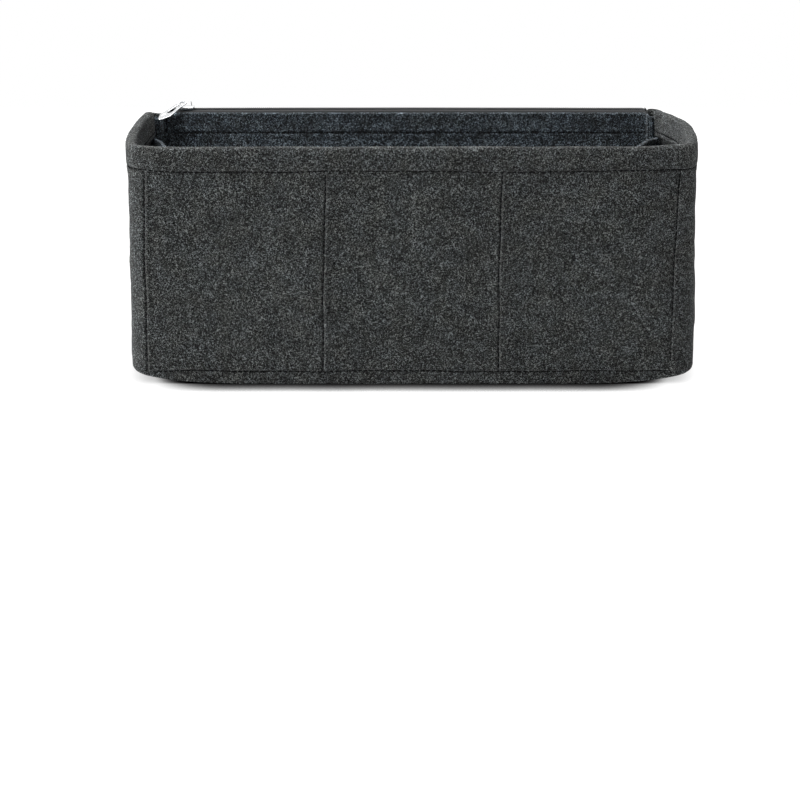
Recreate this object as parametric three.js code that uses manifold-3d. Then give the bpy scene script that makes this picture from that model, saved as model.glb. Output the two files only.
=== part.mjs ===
// Felt purse organizer insert: a hemmed felt wall, a felt base, a three-bay pocket panel inside the front,
// a curved divider in each end and a zipped pocket against the rear wall.
// Millimetres, +X along the front wall, +Y from front to rear, +Z up, origin at the middle of the base.
import * as THREE from 'three';
import { mergeVertices } from 'three/addons/utils/BufferGeometryUtils.js';
import Module from 'manifold-3d';

// Overall size
const bodyWidth = 340;            // across the bulged ends
const bodyDepth = 140;            // outer face of the front wall to outer face of the rear wall
const bodyHeight = 138;           // floor to the folded rim

// Felt and clearances
const wallFelt = 3;               // outer wall, hem layer and base
const innerFelt = 2.4;            // dividers, pocket panel and zip pocket panel
const seamGap = 0.3;              // between two layers that are sewn together
const overrun = 2;                // how far a cutting solid reaches past what it cuts

// Plan of the wall
const frontCornerInset = 6;       // the front corner meets the end wall this far inside the widest place
const frontCornerReach = 12;      // length of the corner along the front wall
const frontCornerDepth = 12;      // and along the end wall
const rearCornerInset = 11;       // the end wall begins its rear corner this far inside the widest place
const rearCornerReach = 4;
const rearCornerDepth = 5;
const rearWallInset = 1.5;        // the rear wall ends this far inside the rear corners
const flangeWidth = 9.9;          // strip at each end of the wall that is sewn behind the rear wall
const endSteps = 12;
const cornerSteps = 5;
const keptShare = 0.99;           // an offset point nearer than this share of the offset is folded over

// Heights
const hemHeight = 16;             // depth of the inner hem layer
const hemStitchDrop = 13;         // hem stitch line below the rim
const hemEndInset = 14;           // the hem layer stops this far short of the rear face
const rearRimDrop = 1.5;          // the rear wall is a little lower than the front rim
const baseSeamHeight = 7.6;       // base stitch line above the floor
const baseLipHeight = 16;         // upturned edge of the base
const liftReach = 104;            // from the corner to where the lower edge comes down to the floor
const liftPower = 2.5;            // of the curve on which it rises to the base seam at the corners
const liftSteps = 10;

// Front pocket panel, with one mouth per bay: where it starts, is widest and ends, as shares of the bay
const panelEndInset = 1;          // the panel's ends inside the flat of the front wall
const middleBayWidth = 100;
const leftMouthDepth = 9.8;
const middleMouthDepth = 9.7;
const rightMouthDepth = 12;
const leftMouthShares = { start: 0.01, peak: 0.2, end: 0.55 };
const middleMouthShares = { start: 0.04, peak: 0.48, end: 0.92 };
const rightMouthShares = { start: 0.02, peak: 0.63, end: 0.95 };
const mouthPower = 1.5;           // sharpens each mouth towards its ends
const mouthSteps = 10;

// End dividers: how far the apex and the feet lie inside the widest place, and where they lie along Y
const dividerFootInset = 10;
const leftApexInset = 37.7;
const leftApexOffset = -7;        // from the middle of the depth
const leftFootFrontInset = 12;
const leftFootRearInset = 10;
const leftDividerPower = 1.65;
const rightApexInset = 35.3;
const rightApexOffset = 0;
const rightFootFrontInset = 10;
const rightFootRearInset = 9;
const rightDividerPower = 2.2;
const dividerSteps = 16;

// Zip pocket panel and zip
const zipSpace = 7.8;             // between the rear wall and the zip pocket panel
const zipPanelDrop = 1;           // its rim below the front rim
const panelTailInset = 0.5;       // the panel's ends inside those of the rear wall
const panelTailLength = 4.5;      // flat end behind which it is sewn
const panelJogLength = 5;         // length of the bend that leads back to the rear wall
const jogSteps = 5;
const zipEndInset = 0.5;          // the zip's ends inside the straight part of its panel
const tapeThickness = 0.6;
const tapeDepth = 14;             // how far the tape reaches down its panel
const tapeDrop = 1.4;             // top of the tape below the front rim
const coilWidth = 1.4;
const coilHeight = 1;
const coilSlot = 1.2;             // between the two rows

// Bar tacks that end the zip
const tackInset = 1.6;            // middle of each tack from the zip's end
const tackLength = 2;
const tackThickness = 0.5;
const tackClearance = 0.1;

// Zip slider
const sliderRestGap = 2.1;        // from the left tack to the slider of the closed zip
const sliderLength = 9.6;
const sliderWidth = 7.1;
const sliderTailWidth = 5.8;
const sliderShoulder = 5.4;       // length of the wide front part
const sliderCornerCut = 1;
const sliderPlate = 0.8;
const sliderClearance = 0.3;
const sliderLipThickness = 0.6;
const sliderPostWidth = 0.6;
const sliderPostLength = 2.4;
const bridgeWidth = 1.3;
const bridgeBand = 0.6;           // thickness of its top
const bridgeLeg = 0.8;
const bridgeFrontX = -4.6;        // from the middle of the slider
const bridgeRearX = 3.2;
const bridgeRise = 2.2;           // clear height under the bridge

// Zip pull
const pullPivotX = -2.1;          // from the middle of the slider
const pullPivotRise = 1.35;       // above the slider's top plate
const pullYaw = 44;               // degrees, towards the front from the zip's line
const pullTilt = 9.5;             // degrees below the level
const pullThickness = 1;
const pullBar = 0.9;              // cross bar that runs under the bridge
const pullLength = 22.3;          // outer edge of the bar to the tip
const pullTopWidth = 6.4;
const pullWaistWidth = 5.6;
const pullWaistAt = 5;            // from the pivot
const pullWidest = 8.7;
const pullWidestAt = 15;
const pullTipWidth = 1.4;
const eyeWidth = 5;
const eyeReach = 3.1;             // far edge of the eye from the pivot
const slotStart = 4;
const slotEnd = 13.6;
const slotStartWidth = 1;
const slotEndWidth = 2.4;
const recessAt = 17;
const recessLength = 4.3;
const recessWidth = 5.9;
const recessDepth = 0.35;
const curveSteps = 6;
const ovalSteps = 24;

// Sewing thread
const threadWidth = 0.8;
const threadProud = 0.45;
const threadSeat = 0.05;
const threadEndGap = 0.6;         // where one stitch line stops short of another
const baseSeamInset = 5;          // its ends inside the flat of the front wall
const rearSeamInset = 7;          // from the ends of the rear wall
const rearSeamTopDrop = 8;
const zipSeamDrop = 13.5;         // zip seam line below the zip pocket panel's rim
const zipSeamInset = 4;           // its ends inside the zip's ends

// Materials: heathered charcoal felt, black zip, dark thread and bright metal
const finishes = {
  wall_felt: { color: 0x4b4f50, roughness: 0.95, metalness: 0 },
  inner_felt: { color: 0x3b4144, roughness: 0.95, metalness: 0 },
  thread: { color: 0x1f2122, roughness: 0.7, metalness: 0 },
  tape: { color: 0x17191b, roughness: 0.85, metalness: 0 },
  coil: { color: 0x202326, roughness: 0.45, metalness: 0 },
  metal: { color: 0xc9cbcc, roughness: 0.22, metalness: 1 },
};

// Derived places
const frontFaceY = -bodyDepth / 2;
const rearFaceY = bodyDepth / 2;
const rearInnerY = rearFaceY - wallFelt;
const flangeFaceY = rearInnerY - seamGap;
const hemEndY = rearFaceY - hemEndInset;
const frontCornerHalf = bodyWidth / 2 - frontCornerInset;
const frontFlatHalf = frontCornerHalf - frontCornerReach;
const rearCornerHalf = bodyWidth / 2 - rearCornerInset;
const rearWallHalf = rearCornerHalf - rearWallInset;
const flangeEndHalf = rearWallHalf - flangeWidth;
const liftStartHalf = frontCornerHalf - liftReach;
const panelEndHalf = frontFlatHalf - panelEndInset;
const bayLineHalf = middleBayWidth / 2;
const panelTailEndHalf = rearWallHalf - panelTailInset;
const panelJogEndHalf = panelTailEndHalf - panelTailLength;
const panelJogStartHalf = panelJogEndHalf - panelJogLength;
const zipHalfLength = panelJogStartHalf - zipEndInset;
const tackHalf = zipHalfLength - tackInset;
const sliderRestX = sliderRestGap + tackLength / 2 + sliderLength / 2 - tackHalf;
const hemBottom = bodyHeight - hemHeight;
const innerTop = hemBottom - seamGap;
const rearWallTop = bodyHeight - rearRimDrop;
const zipPanelTop = bodyHeight - zipPanelDrop;
const zipPanelRearY = rearInnerY - zipSpace;
const zipPanelFrontY = zipPanelRearY - innerFelt;
const zipY = rearInnerY - zipSpace / 2;
const tapeTop = bodyHeight - tapeDrop;
const coilTop = tapeTop + coilHeight;
const plateBottom = coilTop + sliderClearance;
const plateTop = plateBottom + sliderPlate;

const wasm = await Module();
wasm.setup();

const group = new THREE.Group();
group.name = 'purse_organizer_insert';

// Turn a closed geometry into a solid that can be cut and joined
function solid(geometry) {
  const bare = geometry.index ? geometry.toNonIndexed() : geometry.clone();
  bare.deleteAttribute('normal');
  bare.deleteAttribute('uv');
  const merged = mergeVertices(bare);
  const vertProperties = new Float32Array(merged.attributes.position.array);
  const triVerts = new Uint32Array(merged.index.array);
  return new wasm.Manifold(new wasm.Mesh({ numProp: 3, vertProperties, triVerts }));
}

// Turn a solid back into a geometry
function geometryOf(body) {
  const mesh = body.getMesh();
  const geometry = new THREE.BufferGeometry();
  const positions = new Float32Array(mesh.numVert * 3);
  for (let vertex = 0; vertex < mesh.numVert; vertex += 1) {
    for (let axis = 0; axis < 3; axis += 1) {
      positions[vertex * 3 + axis] = mesh.vertProperties[vertex * mesh.numProp + axis];
    }
  }
  geometry.setAttribute('position', new THREE.BufferAttribute(positions, 3));
  geometry.setIndex(new THREE.BufferAttribute(new Uint32Array(mesh.triVerts), 1));
  const flat = geometry.toNonIndexed();
  flat.computeVertexNormals();
  return flat;
}

function addPiece(name, body, finish, parent = group) {
  const material = new THREE.MeshStandardMaterial(finishes[finish]);
  const mesh = new THREE.Mesh(body.isBufferGeometry ? body : geometryOf(body), material);
  mesh.name = name;
  parent.add(mesh);
  return mesh;
}

const point = (x, y) => new THREE.Vector2(x, y);

function extrude(outline, depth) {
  const shape = outline.isShape ? outline : new THREE.Shape(outline);
  return new THREE.ExtrudeGeometry(shape, { depth, bevelEnabled: false, steps: 1 });
}

// A plan outline raised from one height to another
function prism(outline, low, high) {
  return solid(extrude(outline, high - low).translate(0, 0, low));
}

// An outline in X and Z carried along Y
function alongY(outline, nearY, farY) {
  const geometry = extrude(outline, farY - nearY);
  return solid(geometry.rotateX(Math.PI / 2).translate(0, farY, 0));
}

// An outline in Y and Z carried along X
function alongX(outline, lowX, highX) {
  const turn = new THREE.Matrix4().makeBasis(
    new THREE.Vector3(0, 1, 0), new THREE.Vector3(0, 0, 1), new THREE.Vector3(1, 0, 0));
  return solid(extrude(outline, highX - lowX).applyMatrix4(turn).translate(lowX, 0, 0));
}

function block(lowX, highX, lowY, highY, lowZ, highZ) {
  const geometry = new THREE.BoxGeometry(highX - lowX, highY - lowY, highZ - lowZ);
  return solid(geometry.translate((lowX + highX) / 2, (lowY + highY) / 2, (lowZ + highZ) / 2));
}

// Distance from a spot to the nearest place on a plan path
function distanceToPath(spot, path) {
  let least = Infinity;
  for (let index = 1; index < path.length; index += 1) {
    const start = path[index - 1];
    const along = path[index].clone().sub(start);
    const share = THREE.MathUtils.clamp(spot.clone().sub(start).dot(along) / along.lengthSq(), 0, 1);
    least = Math.min(least, spot.distanceTo(start.clone().addScaledVector(along, share)));
  }
  return least;
}

// Move every point of a plan path to its left by a distance, with mitred corners. Points that a tight
// corner would fold over itself are left out.
function offsetPath(path, distance) {
  const moved = path.map((here, index) => {
    const before = path[Math.max(index - 1, 0)];
    const after = path[Math.min(index + 1, path.length - 1)];
    const first = index > 0 ? here.clone().sub(before).normalize() : after.clone().sub(here).normalize();
    const second = index < path.length - 1 ? after.clone().sub(here).normalize() : first;
    const normal = point(-first.y - second.y, first.x + second.x).normalize();
    const mitre = distance / normal.dot(point(-first.y, first.x));
    return here.clone().addScaledVector(normal, mitre);
  });
  return moved.filter((spot) => distanceToPath(spot, path) >= Math.abs(distance) * keptShare);
}

// A sheet that follows a plan path, from one offset to another
function strip(path, nearOffset, farOffset, low, high) {
  const near = offsetPath(path, nearOffset);
  const far = offsetPath(path, farOffset);
  return prism([...near, ...far.reverse()], low, high);
}

// Outer face of the wall from the right rear flange, round the right end, to the middle of the front
const endMean = (frontCornerHalf + rearCornerHalf) / 2;
const endLean = (rearCornerHalf - frontCornerHalf) / 2;
const endReach = bodyWidth / 2 - endMean;
const endBulge = (endReach + Math.sqrt(endReach ** 2 - endLean ** 2)) / 2;
const endFrontY = frontFaceY + frontCornerDepth;
const endRearY = flangeFaceY - rearCornerDepth;
const endHalfDepth = (endRearY - endFrontY) / 2;
const endX = (share) => endMean + endLean * share + endBulge * (1 - share ** 2);

function rightHalfPath() {
  const rearSlope = (endLean - 2 * endBulge) / endHalfDepth;
  const frontSlope = (endLean + 2 * endBulge) / endHalfDepth;
  const rearControl = point(rearCornerHalf + rearSlope * rearCornerDepth, flangeFaceY);
  const frontControl = point(frontCornerHalf - frontSlope * frontCornerDepth, frontFaceY);
  const rearCorner = new THREE.QuadraticBezierCurve(
    point(rearControl.x - rearCornerReach, flangeFaceY), rearControl, point(rearCornerHalf, endRearY));
  const frontCorner = new THREE.QuadraticBezierCurve(
    point(frontCornerHalf, endFrontY), frontControl, point(frontFlatHalf, frontFaceY));
  const end = [];
  for (let step = 1; step < endSteps; step += 1) {
    const share = 1 - 2 * step / endSteps;
    end.push(point(endX(share), endFrontY + (share + 1) * endHalfDepth));
  }
  return [point(flangeEndHalf, flangeFaceY), ...rearCorner.getPoints(cornerSteps), ...end,
    ...frontCorner.getPoints(cornerSteps)];
}

const mirrored = (path) => path.map((spot) => point(-spot.x, spot.y)).reverse();

// The wall's path runs clockwise seen from above, so its right hand side is the inside
const rightHalf = rightHalfPath();
const wallPath = [...rightHalf, ...mirrored(rightHalf)];
const inward = (distance) => -distance;
const hemPath = wallPath.filter((spot) => spot.y <= hemEndY);

// Height of the lower edge above the floor
function liftAt(x) {
  const share = THREE.MathUtils.clamp(
    (Math.abs(x) - liftStartHalf) / (frontCornerHalf - liftStartHalf), 0, 1);
  return baseSeamHeight * share ** liftPower;
}

// Everything between two heights, both following the lifted lower edge when asked
function bandAboveFloor(raise, top) {
  const curve = [];
  for (let step = 0; step <= liftSteps; step += 1) {
    curve.push(liftStartHalf + (frontCornerHalf - liftStartHalf) * step / liftSteps);
  }
  const sideX = bodyWidth / 2 + overrun;
  const right = [...curve, sideX].map((x) => point(x, liftAt(x) + raise));
  const left = right.map((spot) => point(-spot.x, spot.y)).reverse();
  const outline = [...left, ...right, point(sideX, top), point(-sideX, top)];
  return alongY(outline, frontFaceY - overrun, rearFaceY + overrun);
}

// Room inside the wall, clear of the wall strip and the rear wall
function roomInside(inset, rearY, low, high) {
  const outline = offsetPath(wallPath, inward(inset));
  const rearLimit = block(-bodyWidth, bodyWidth, frontFaceY, rearY, low, high);
  return prism([...outline].reverse(), low, high).intersect(rearLimit);
}

// Wall strip: front, corners and ends, with the hem layer folded in at the top
function makeWallBand() {
  const outer = strip(wallPath, 0, inward(wallFelt), 0, bodyHeight);
  const hem = strip(hemPath, 0, inward(2 * wallFelt), hemBottom, bodyHeight);
  const lifted = bandAboveFloor(0, bodyHeight + overrun);
  addPiece('wall_band', outer.add(hem).intersect(lifted), 'wall_felt');
}

function makeRearWall() {
  const wall = block(-rearWallHalf, rearWallHalf, rearInnerY, rearFaceY, 0, rearWallTop);
  addPiece('rear_wall', wall.intersect(bandAboveFloor(0, bodyHeight)), 'wall_felt');
}

const roomInset = wallFelt + seamGap;
const lipInset = roomInset + wallFelt;
const roomRearY = rearInnerY - seamGap;
const wallClearance = () => strip(wallPath, seamGap, inward(roomInset), 0, bodyHeight);

// Base: floor with its edge turned up inside the walls
function makeBaseTray() {
  const outer = roomInside(seamGap, roomRearY, 0, baseLipHeight).subtract(wallClearance());
  const hollow = roomInside(lipInset, roomRearY - wallFelt, 0, baseLipHeight + overrun);
  const tray = outer
    .intersect(bandAboveFloor(0, baseLipHeight))
    .subtract(hollow.intersect(bandAboveFloor(wallFelt, baseLipHeight + overrun)));
  addPiece('base_tray', tray, 'wall_felt');
}

// What an inner panel keeps clear of: the wall, the hem, the turned-up edge and the floor
function fitInside(panel, top) {
  const lipTop = baseLipHeight + seamGap;
  const lip = roomInside(0, rearFaceY, 0, lipTop)
    .subtract(roomInside(lipInset + seamGap, roomRearY - wallFelt - seamGap, -overrun, lipTop + overrun));
  return panel
    .intersect(roomInside(0, roomRearY, 0, top))
    .intersect(bandAboveFloor(wallFelt + seamGap, top))
    .subtract(wallClearance())
    .subtract(lip);
}

// Front pocket panel: flat on the wall at the seams, standing away from it in each bay
function makeFrontPocketPanel() {
  const restY = frontFaceY + wallFelt + seamGap;
  const bays = [
    { from: -panelEndHalf, to: -bayLineHalf, shares: leftMouthShares, depth: leftMouthDepth },
    { from: -bayLineHalf, to: bayLineHalf, shares: middleMouthShares, depth: middleMouthDepth },
    { from: bayLineHalf, to: panelEndHalf, shares: rightMouthShares, depth: rightMouthDepth },
  ];
  const path = [point(-panelEndHalf, restY)];
  for (const bay of bays) {
    const start = THREE.MathUtils.lerp(bay.from, bay.to, bay.shares.start);
    const end = THREE.MathUtils.lerp(bay.from, bay.to, bay.shares.end);
    const peakShare = (bay.shares.peak - bay.shares.start) / (bay.shares.end - bay.shares.start);
    const skew = -Math.LN2 / Math.log(peakShare);
    for (let step = 0; step <= mouthSteps; step += 1) {
      const share = step / mouthSteps;
      const bulge = bay.depth * Math.sin(Math.PI * share ** skew) ** mouthPower;
      path.push(point(THREE.MathUtils.lerp(start, end, share), restY + bulge));
    }
  }
  path.push(point(panelEndHalf, restY));
  const panel = strip(path, 0, innerFelt, 0, innerTop);
  addPiece('front_pocket_panel', fitInside(panel, innerTop), 'inner_felt');
}

// End divider: a strip bowed towards the middle, from the front corner to the rear corner
function makeDivider(name, side, form) {
  const apexHalf = bodyWidth / 2 - form.apexInset;
  const footHalf = bodyWidth / 2 - dividerFootInset;
  const frontY = frontFaceY + form.frontInset;
  const rearY = rearFaceY - form.rearInset;
  const path = [];
  for (let step = 0; step <= dividerSteps; step += 1) {
    const y = THREE.MathUtils.lerp(rearY, frontY, step / dividerSteps);
    const reach = y > form.apexY ? rearY - form.apexY : form.apexY - frontY;
    const share = (Math.abs(y - form.apexY) / reach) ** form.power;
    path.push(point(side * THREE.MathUtils.lerp(apexHalf, footHalf, share), y));
  }
  const sheet = strip(side > 0 ? path : path.reverse(), innerFelt / 2, -innerFelt / 2, 0, innerTop);
  addPiece(name, fitInside(sheet, innerTop), 'inner_felt');
}

function makeDividers() {
  makeDivider('left_end_divider', -1, {
    apexInset: leftApexInset,
    apexY: leftApexOffset,
    frontInset: leftFootFrontInset,
    rearInset: leftFootRearInset,
    power: leftDividerPower,
  });
  makeDivider('right_end_divider', 1, {
    apexInset: rightApexInset,
    apexY: rightApexOffset,
    frontInset: rightFootFrontInset,
    rearInset: rightFootRearInset,
    power: rightDividerPower,
  });
}

// Zip pocket panel: straight, with its ends turned back against the rear flanges
function makeZipPocketPanel() {
  const backY = flangeFaceY - wallFelt - seamGap;
  const half = [];
  for (let step = 0; step <= jogSteps; step += 1) {
    const share = step / jogSteps;
    const y = THREE.MathUtils.lerp(zipPanelRearY, backY, THREE.MathUtils.smoothstep(share, 0, 1));
    half.push(point(THREE.MathUtils.lerp(panelJogStartHalf, panelJogEndHalf, share), y));
  }
  half.push(point(panelTailEndHalf, backY));
  const path = [...half.reverse(), ...mirrored(half)];
  const panel = strip(path, 0, innerFelt, 0, zipPanelTop);
  const fitted = fitInside(panel, zipPanelTop);
  const hemZone = strip(hemPath, 0, inward(2 * wallFelt + seamGap), hemBottom - seamGap, bodyHeight);
  addPiece('zip_pocket_panel', fitted.subtract(hemZone), 'inner_felt');
}

// Zip: each tape comes down its panel and turns level to carry one row of the coil
function makeZipTapes() {
  const sides = [
    { suffix: 'front', outerY: zipPanelRearY + seamGap, inwardSign: 1 },
    { suffix: 'rear', outerY: rearInnerY - seamGap, inwardSign: -1 },
  ];
  for (const { suffix, outerY, inwardSign } of sides) {
    const edgeY = zipY - inwardSign * coilSlot / 2;
    const legY = outerY + inwardSign * tapeThickness;
    const low = tapeTop - tapeDepth;
    const under = tapeTop - tapeThickness;
    const outline = [point(outerY, low), point(legY, low), point(legY, under), point(edgeY, under),
      point(edgeY, tapeTop), point(outerY, tapeTop)];
    const tape = alongX(inwardSign > 0 ? outline : outline.reverse(), -zipHalfLength, zipHalfLength);
    addPiece(`zip_tape_${suffix}`, tape, 'tape');
    const coilY = edgeY - inwardSign * coilWidth / 2;
    const coil = block(-zipHalfLength, zipHalfLength, coilY - coilWidth / 2, coilY + coilWidth / 2,
      tapeTop, coilTop);
    addPiece(`zip_coil_${suffix}`, coil, 'coil');
  }
}

// Bar tacks: thread bars sewn over both rows, which stop the slider
function makeEndTack(name, centreX) {
  const chainHalf = coilSlot / 2 + coilWidth;
  const insideHalf = chainHalf + tackClearance;
  const outsideHalf = insideHalf + tackThickness;
  const footZ = tapeTop + tackClearance;
  const innerZ = coilTop + tackClearance;
  const topZ = innerZ + tackThickness;
  const outline = [point(zipY - outsideHalf, footZ), point(zipY - insideHalf, footZ),
    point(zipY - insideHalf, innerZ), point(zipY + insideHalf, innerZ),
    point(zipY + insideHalf, footZ), point(zipY + outsideHalf, footZ),
    point(zipY + outsideHalf, topZ), point(zipY - outsideHalf, topZ)];
  addPiece(name, alongX(outline, centreX - tackLength / 2, centreX + tackLength / 2), 'thread');
}

// Slider, in its own frame: middle of its length, on the zip's centre line, at the top of its top plate
function sliderPlan(width, tailWidth) {
  const front = -sliderLength / 2;
  const rear = sliderLength / 2;
  const shoulder = front + sliderShoulder;
  return [point(front, -width / 2 + sliderCornerCut), point(front + sliderCornerCut, -width / 2),
    point(shoulder, -width / 2), point(rear - sliderCornerCut, -tailWidth / 2),
    point(rear, -tailWidth / 2 + sliderCornerCut), point(rear, tailWidth / 2 - sliderCornerCut),
    point(rear - sliderCornerCut, tailWidth / 2), point(shoulder, width / 2),
    point(front + sliderCornerCut, width / 2), point(front, width / 2 - sliderCornerCut)];
}

function makeSlider(parent) {
  const lipBottom = tapeTop + sliderClearance - plateTop;
  const plateLow = -sliderPlate;
  const lowerTop = tapeTop - tapeThickness - sliderClearance - plateTop;
  const lowerWidth = zipSpace - 2 * (seamGap + tapeThickness + sliderClearance);
  const plate = prism(sliderPlan(sliderWidth, sliderTailWidth), lipBottom, 0);
  const channelHalf = sliderTailWidth / 2 - sliderLipThickness;
  const channel = block(-sliderLength, sliderLength, -channelHalf, channelHalf, lipBottom - overrun, plateLow);
  const lower = prism(sliderPlan(lowerWidth, lowerWidth), lowerTop - sliderPlate, lowerTop);
  const postFront = -sliderLength / 2 + sliderCornerCut;
  const post = block(postFront, postFront + sliderPostLength, -sliderPostWidth / 2, sliderPostWidth / 2,
    lowerTop - sliderPlate / 2, plateLow / 2);
  const bridgeTop = bridgeRise + bridgeBand;
  const bridgeOutline = [point(bridgeFrontX, plateLow / 2), point(bridgeFrontX + bridgeLeg, plateLow / 2),
    point(bridgeFrontX + bridgeLeg, bridgeRise), point(bridgeRearX - bridgeLeg, bridgeRise),
    point(bridgeRearX - bridgeLeg, plateLow / 2), point(bridgeRearX, plateLow / 2),
    point(bridgeRearX, bridgeRise), point(bridgeRearX - bridgeLeg, bridgeTop),
    point(bridgeFrontX + bridgeLeg, bridgeTop), point(bridgeFrontX, bridgeRise)];
  const bridge = alongY(bridgeOutline, -bridgeWidth / 2, bridgeWidth / 2);
  addPiece('zip_slider', plate.subtract(channel).add(lower).add(post).add(bridge), 'metal', parent);
}

// Pull, in its own frame: +X from the pivot to the tip, with the cross bar along Y
function pullOutline() {
  const top = -pullBar / 2;
  const tip = top + pullLength;
  const shape = new THREE.Shape();
  shape.moveTo(top, -pullTopWidth / 2 + pullBar / 2);
  shape.lineTo(0, -pullTopWidth / 2);
  shape.lineTo(eyeReach, -pullTopWidth / 2);
  shape.quadraticCurveTo(pullWaistAt, -pullWaistWidth / 2, (pullWaistAt + pullWidestAt) / 2,
    -(pullWaistWidth + pullWidest) / 4);
  shape.quadraticCurveTo(pullWidestAt, -pullWidest / 2, (pullWidestAt + recessAt) / 2, -pullWidest / 2);
  shape.quadraticCurveTo(recessAt + recessLength / 2, -recessWidth / 2, tip, -pullTipWidth / 2);
  shape.lineTo(tip, pullTipWidth / 2);
  shape.quadraticCurveTo(recessAt + recessLength / 2, recessWidth / 2,
    (pullWidestAt + recessAt) / 2, pullWidest / 2);
  shape.quadraticCurveTo(pullWidestAt, pullWidest / 2, (pullWaistAt + pullWidestAt) / 2,
    (pullWaistWidth + pullWidest) / 4);
  shape.quadraticCurveTo(pullWaistAt, pullWaistWidth / 2, eyeReach, pullTopWidth / 2);
  shape.lineTo(0, pullTopWidth / 2);
  shape.lineTo(top, pullTopWidth / 2 - pullBar / 2);
  return shape.getPoints(curveSteps);
}

function makePull(parent) {
  const half = pullThickness / 2;
  const plate = prism(pullOutline(), -half, half);
  const eye = block(pullBar / 2, eyeReach, -eyeWidth / 2, eyeWidth / 2, -half - overrun, half + overrun);
  const slotShape = new THREE.Shape();
  slotShape.moveTo(slotStart, -slotStartWidth / 2);
  slotShape.lineTo(slotEnd - slotEndWidth / 2, -slotEndWidth / 2);
  slotShape.quadraticCurveTo(slotEnd, -slotEndWidth / 2, slotEnd, 0);
  slotShape.quadraticCurveTo(slotEnd, slotEndWidth / 2, slotEnd - slotEndWidth / 2, slotEndWidth / 2);
  slotShape.lineTo(slotStart, slotStartWidth / 2);
  const slot = prism(slotShape.getPoints(curveSteps), -half - overrun, half + overrun);
  const oval = new THREE.EllipseCurve(recessAt, 0, recessLength / 2, recessWidth / 2);
  const recess = prism(oval.getPoints(ovalSteps).slice(1), half - recessDepth, half + overrun);
  addPiece('zip_pull', plate.subtract(eye).subtract(slot).subtract(recess), 'metal', parent);
}

function makeSliderAndPull() {
  const slider = new THREE.Group();
  slider.position.set(sliderRestX, zipY, plateTop);
  group.add(slider);
  makeSlider(slider);
  const pull = new THREE.Group();
  pull.position.set(pullPivotX, 0, pullPivotRise);
  pull.rotation.order = 'ZYX';
  pull.rotation.z = Math.PI + THREE.MathUtils.degToRad(pullYaw);
  pull.rotation.y = THREE.MathUtils.degToRad(pullTilt);
  slider.add(pull);
  makePull(pull);
}

// Stitch lines: a thread laid on the outer face of the felt
function makeThreads() {
  const threadHalf = threadWidth / 2;
  const baseSeamHalf = frontFlatHalf - baseSeamInset;
  const rearSeamHalf = rearWallHalf - rearSeamInset;
  const zipSeamHalf = zipHalfLength - zipSeamInset;
  const faceFront = frontFaceY - threadSeat;
  const faceRear = rearFaceY + threadSeat;
  const hemZ = bodyHeight - hemStitchDrop;
  const levelThread = (name, halfLength, nearY, farY, z) => {
    addPiece(name, block(-halfLength, halfLength, nearY, farY, z - threadHalf, z + threadHalf), 'thread');
  };
  const uprightThread = (name, x, nearY, farY, low, high) => {
    addPiece(name, block(x - threadHalf, x + threadHalf, nearY, farY, low, high), 'thread');
  };
  const hemLine = strip(hemPath, threadSeat, threadSeat + threadProud, hemZ - threadHalf, hemZ + threadHalf);
  addPiece('hem_seam_thread', hemLine, 'thread');
  levelThread('base_seam_thread', baseSeamHalf, faceFront - threadProud, faceFront, baseSeamHeight);
  levelThread('rear_base_seam_thread', baseSeamHalf, faceRear, faceRear + threadProud, baseSeamHeight);
  const low = baseSeamHeight + threadHalf + threadEndGap;
  const high = hemZ - threadHalf - threadEndGap;
  const frontLines = {
    left_panel_seam_thread: -panelEndHalf,
    left_bay_seam_thread: -bayLineHalf,
    right_bay_seam_thread: bayLineHalf,
    right_panel_seam_thread: panelEndHalf,
  };
  for (const [name, x] of Object.entries(frontLines)) {
    uprightThread(name, x, faceFront - threadProud, faceFront, low, high);
  }
  const rearHigh = rearWallTop - rearSeamTopDrop;
  uprightThread('rear_left_seam_thread', -rearSeamHalf, faceRear, faceRear + threadProud, low, rearHigh);
  uprightThread('rear_right_seam_thread', rearSeamHalf, faceRear, faceRear + threadProud, low, rearHigh);
  const zipSeamZ = zipPanelTop - zipSeamDrop;
  const panelFace = zipPanelFrontY - threadSeat;
  levelThread('zip_panel_seam_thread', zipSeamHalf, panelFace - threadProud, panelFace, zipSeamZ);
  levelThread('zip_rear_seam_thread', zipSeamHalf, faceRear, faceRear + threadProud, zipSeamZ);
}

makeWallBand();
makeRearWall();
makeBaseTray();
makeFrontPocketPanel();
makeDividers();
makeZipPocketPanel();
makeZipTapes();
makeEndTack('zip_left_end_tack', -tackHalf);
makeEndTack('zip_right_end_tack', tackHalf);
makeSliderAndPull();
makeThreads();

export default group;
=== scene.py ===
import math

import bmesh
import bpy
import numpy as np
from mathutils import Matrix, Vector


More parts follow.
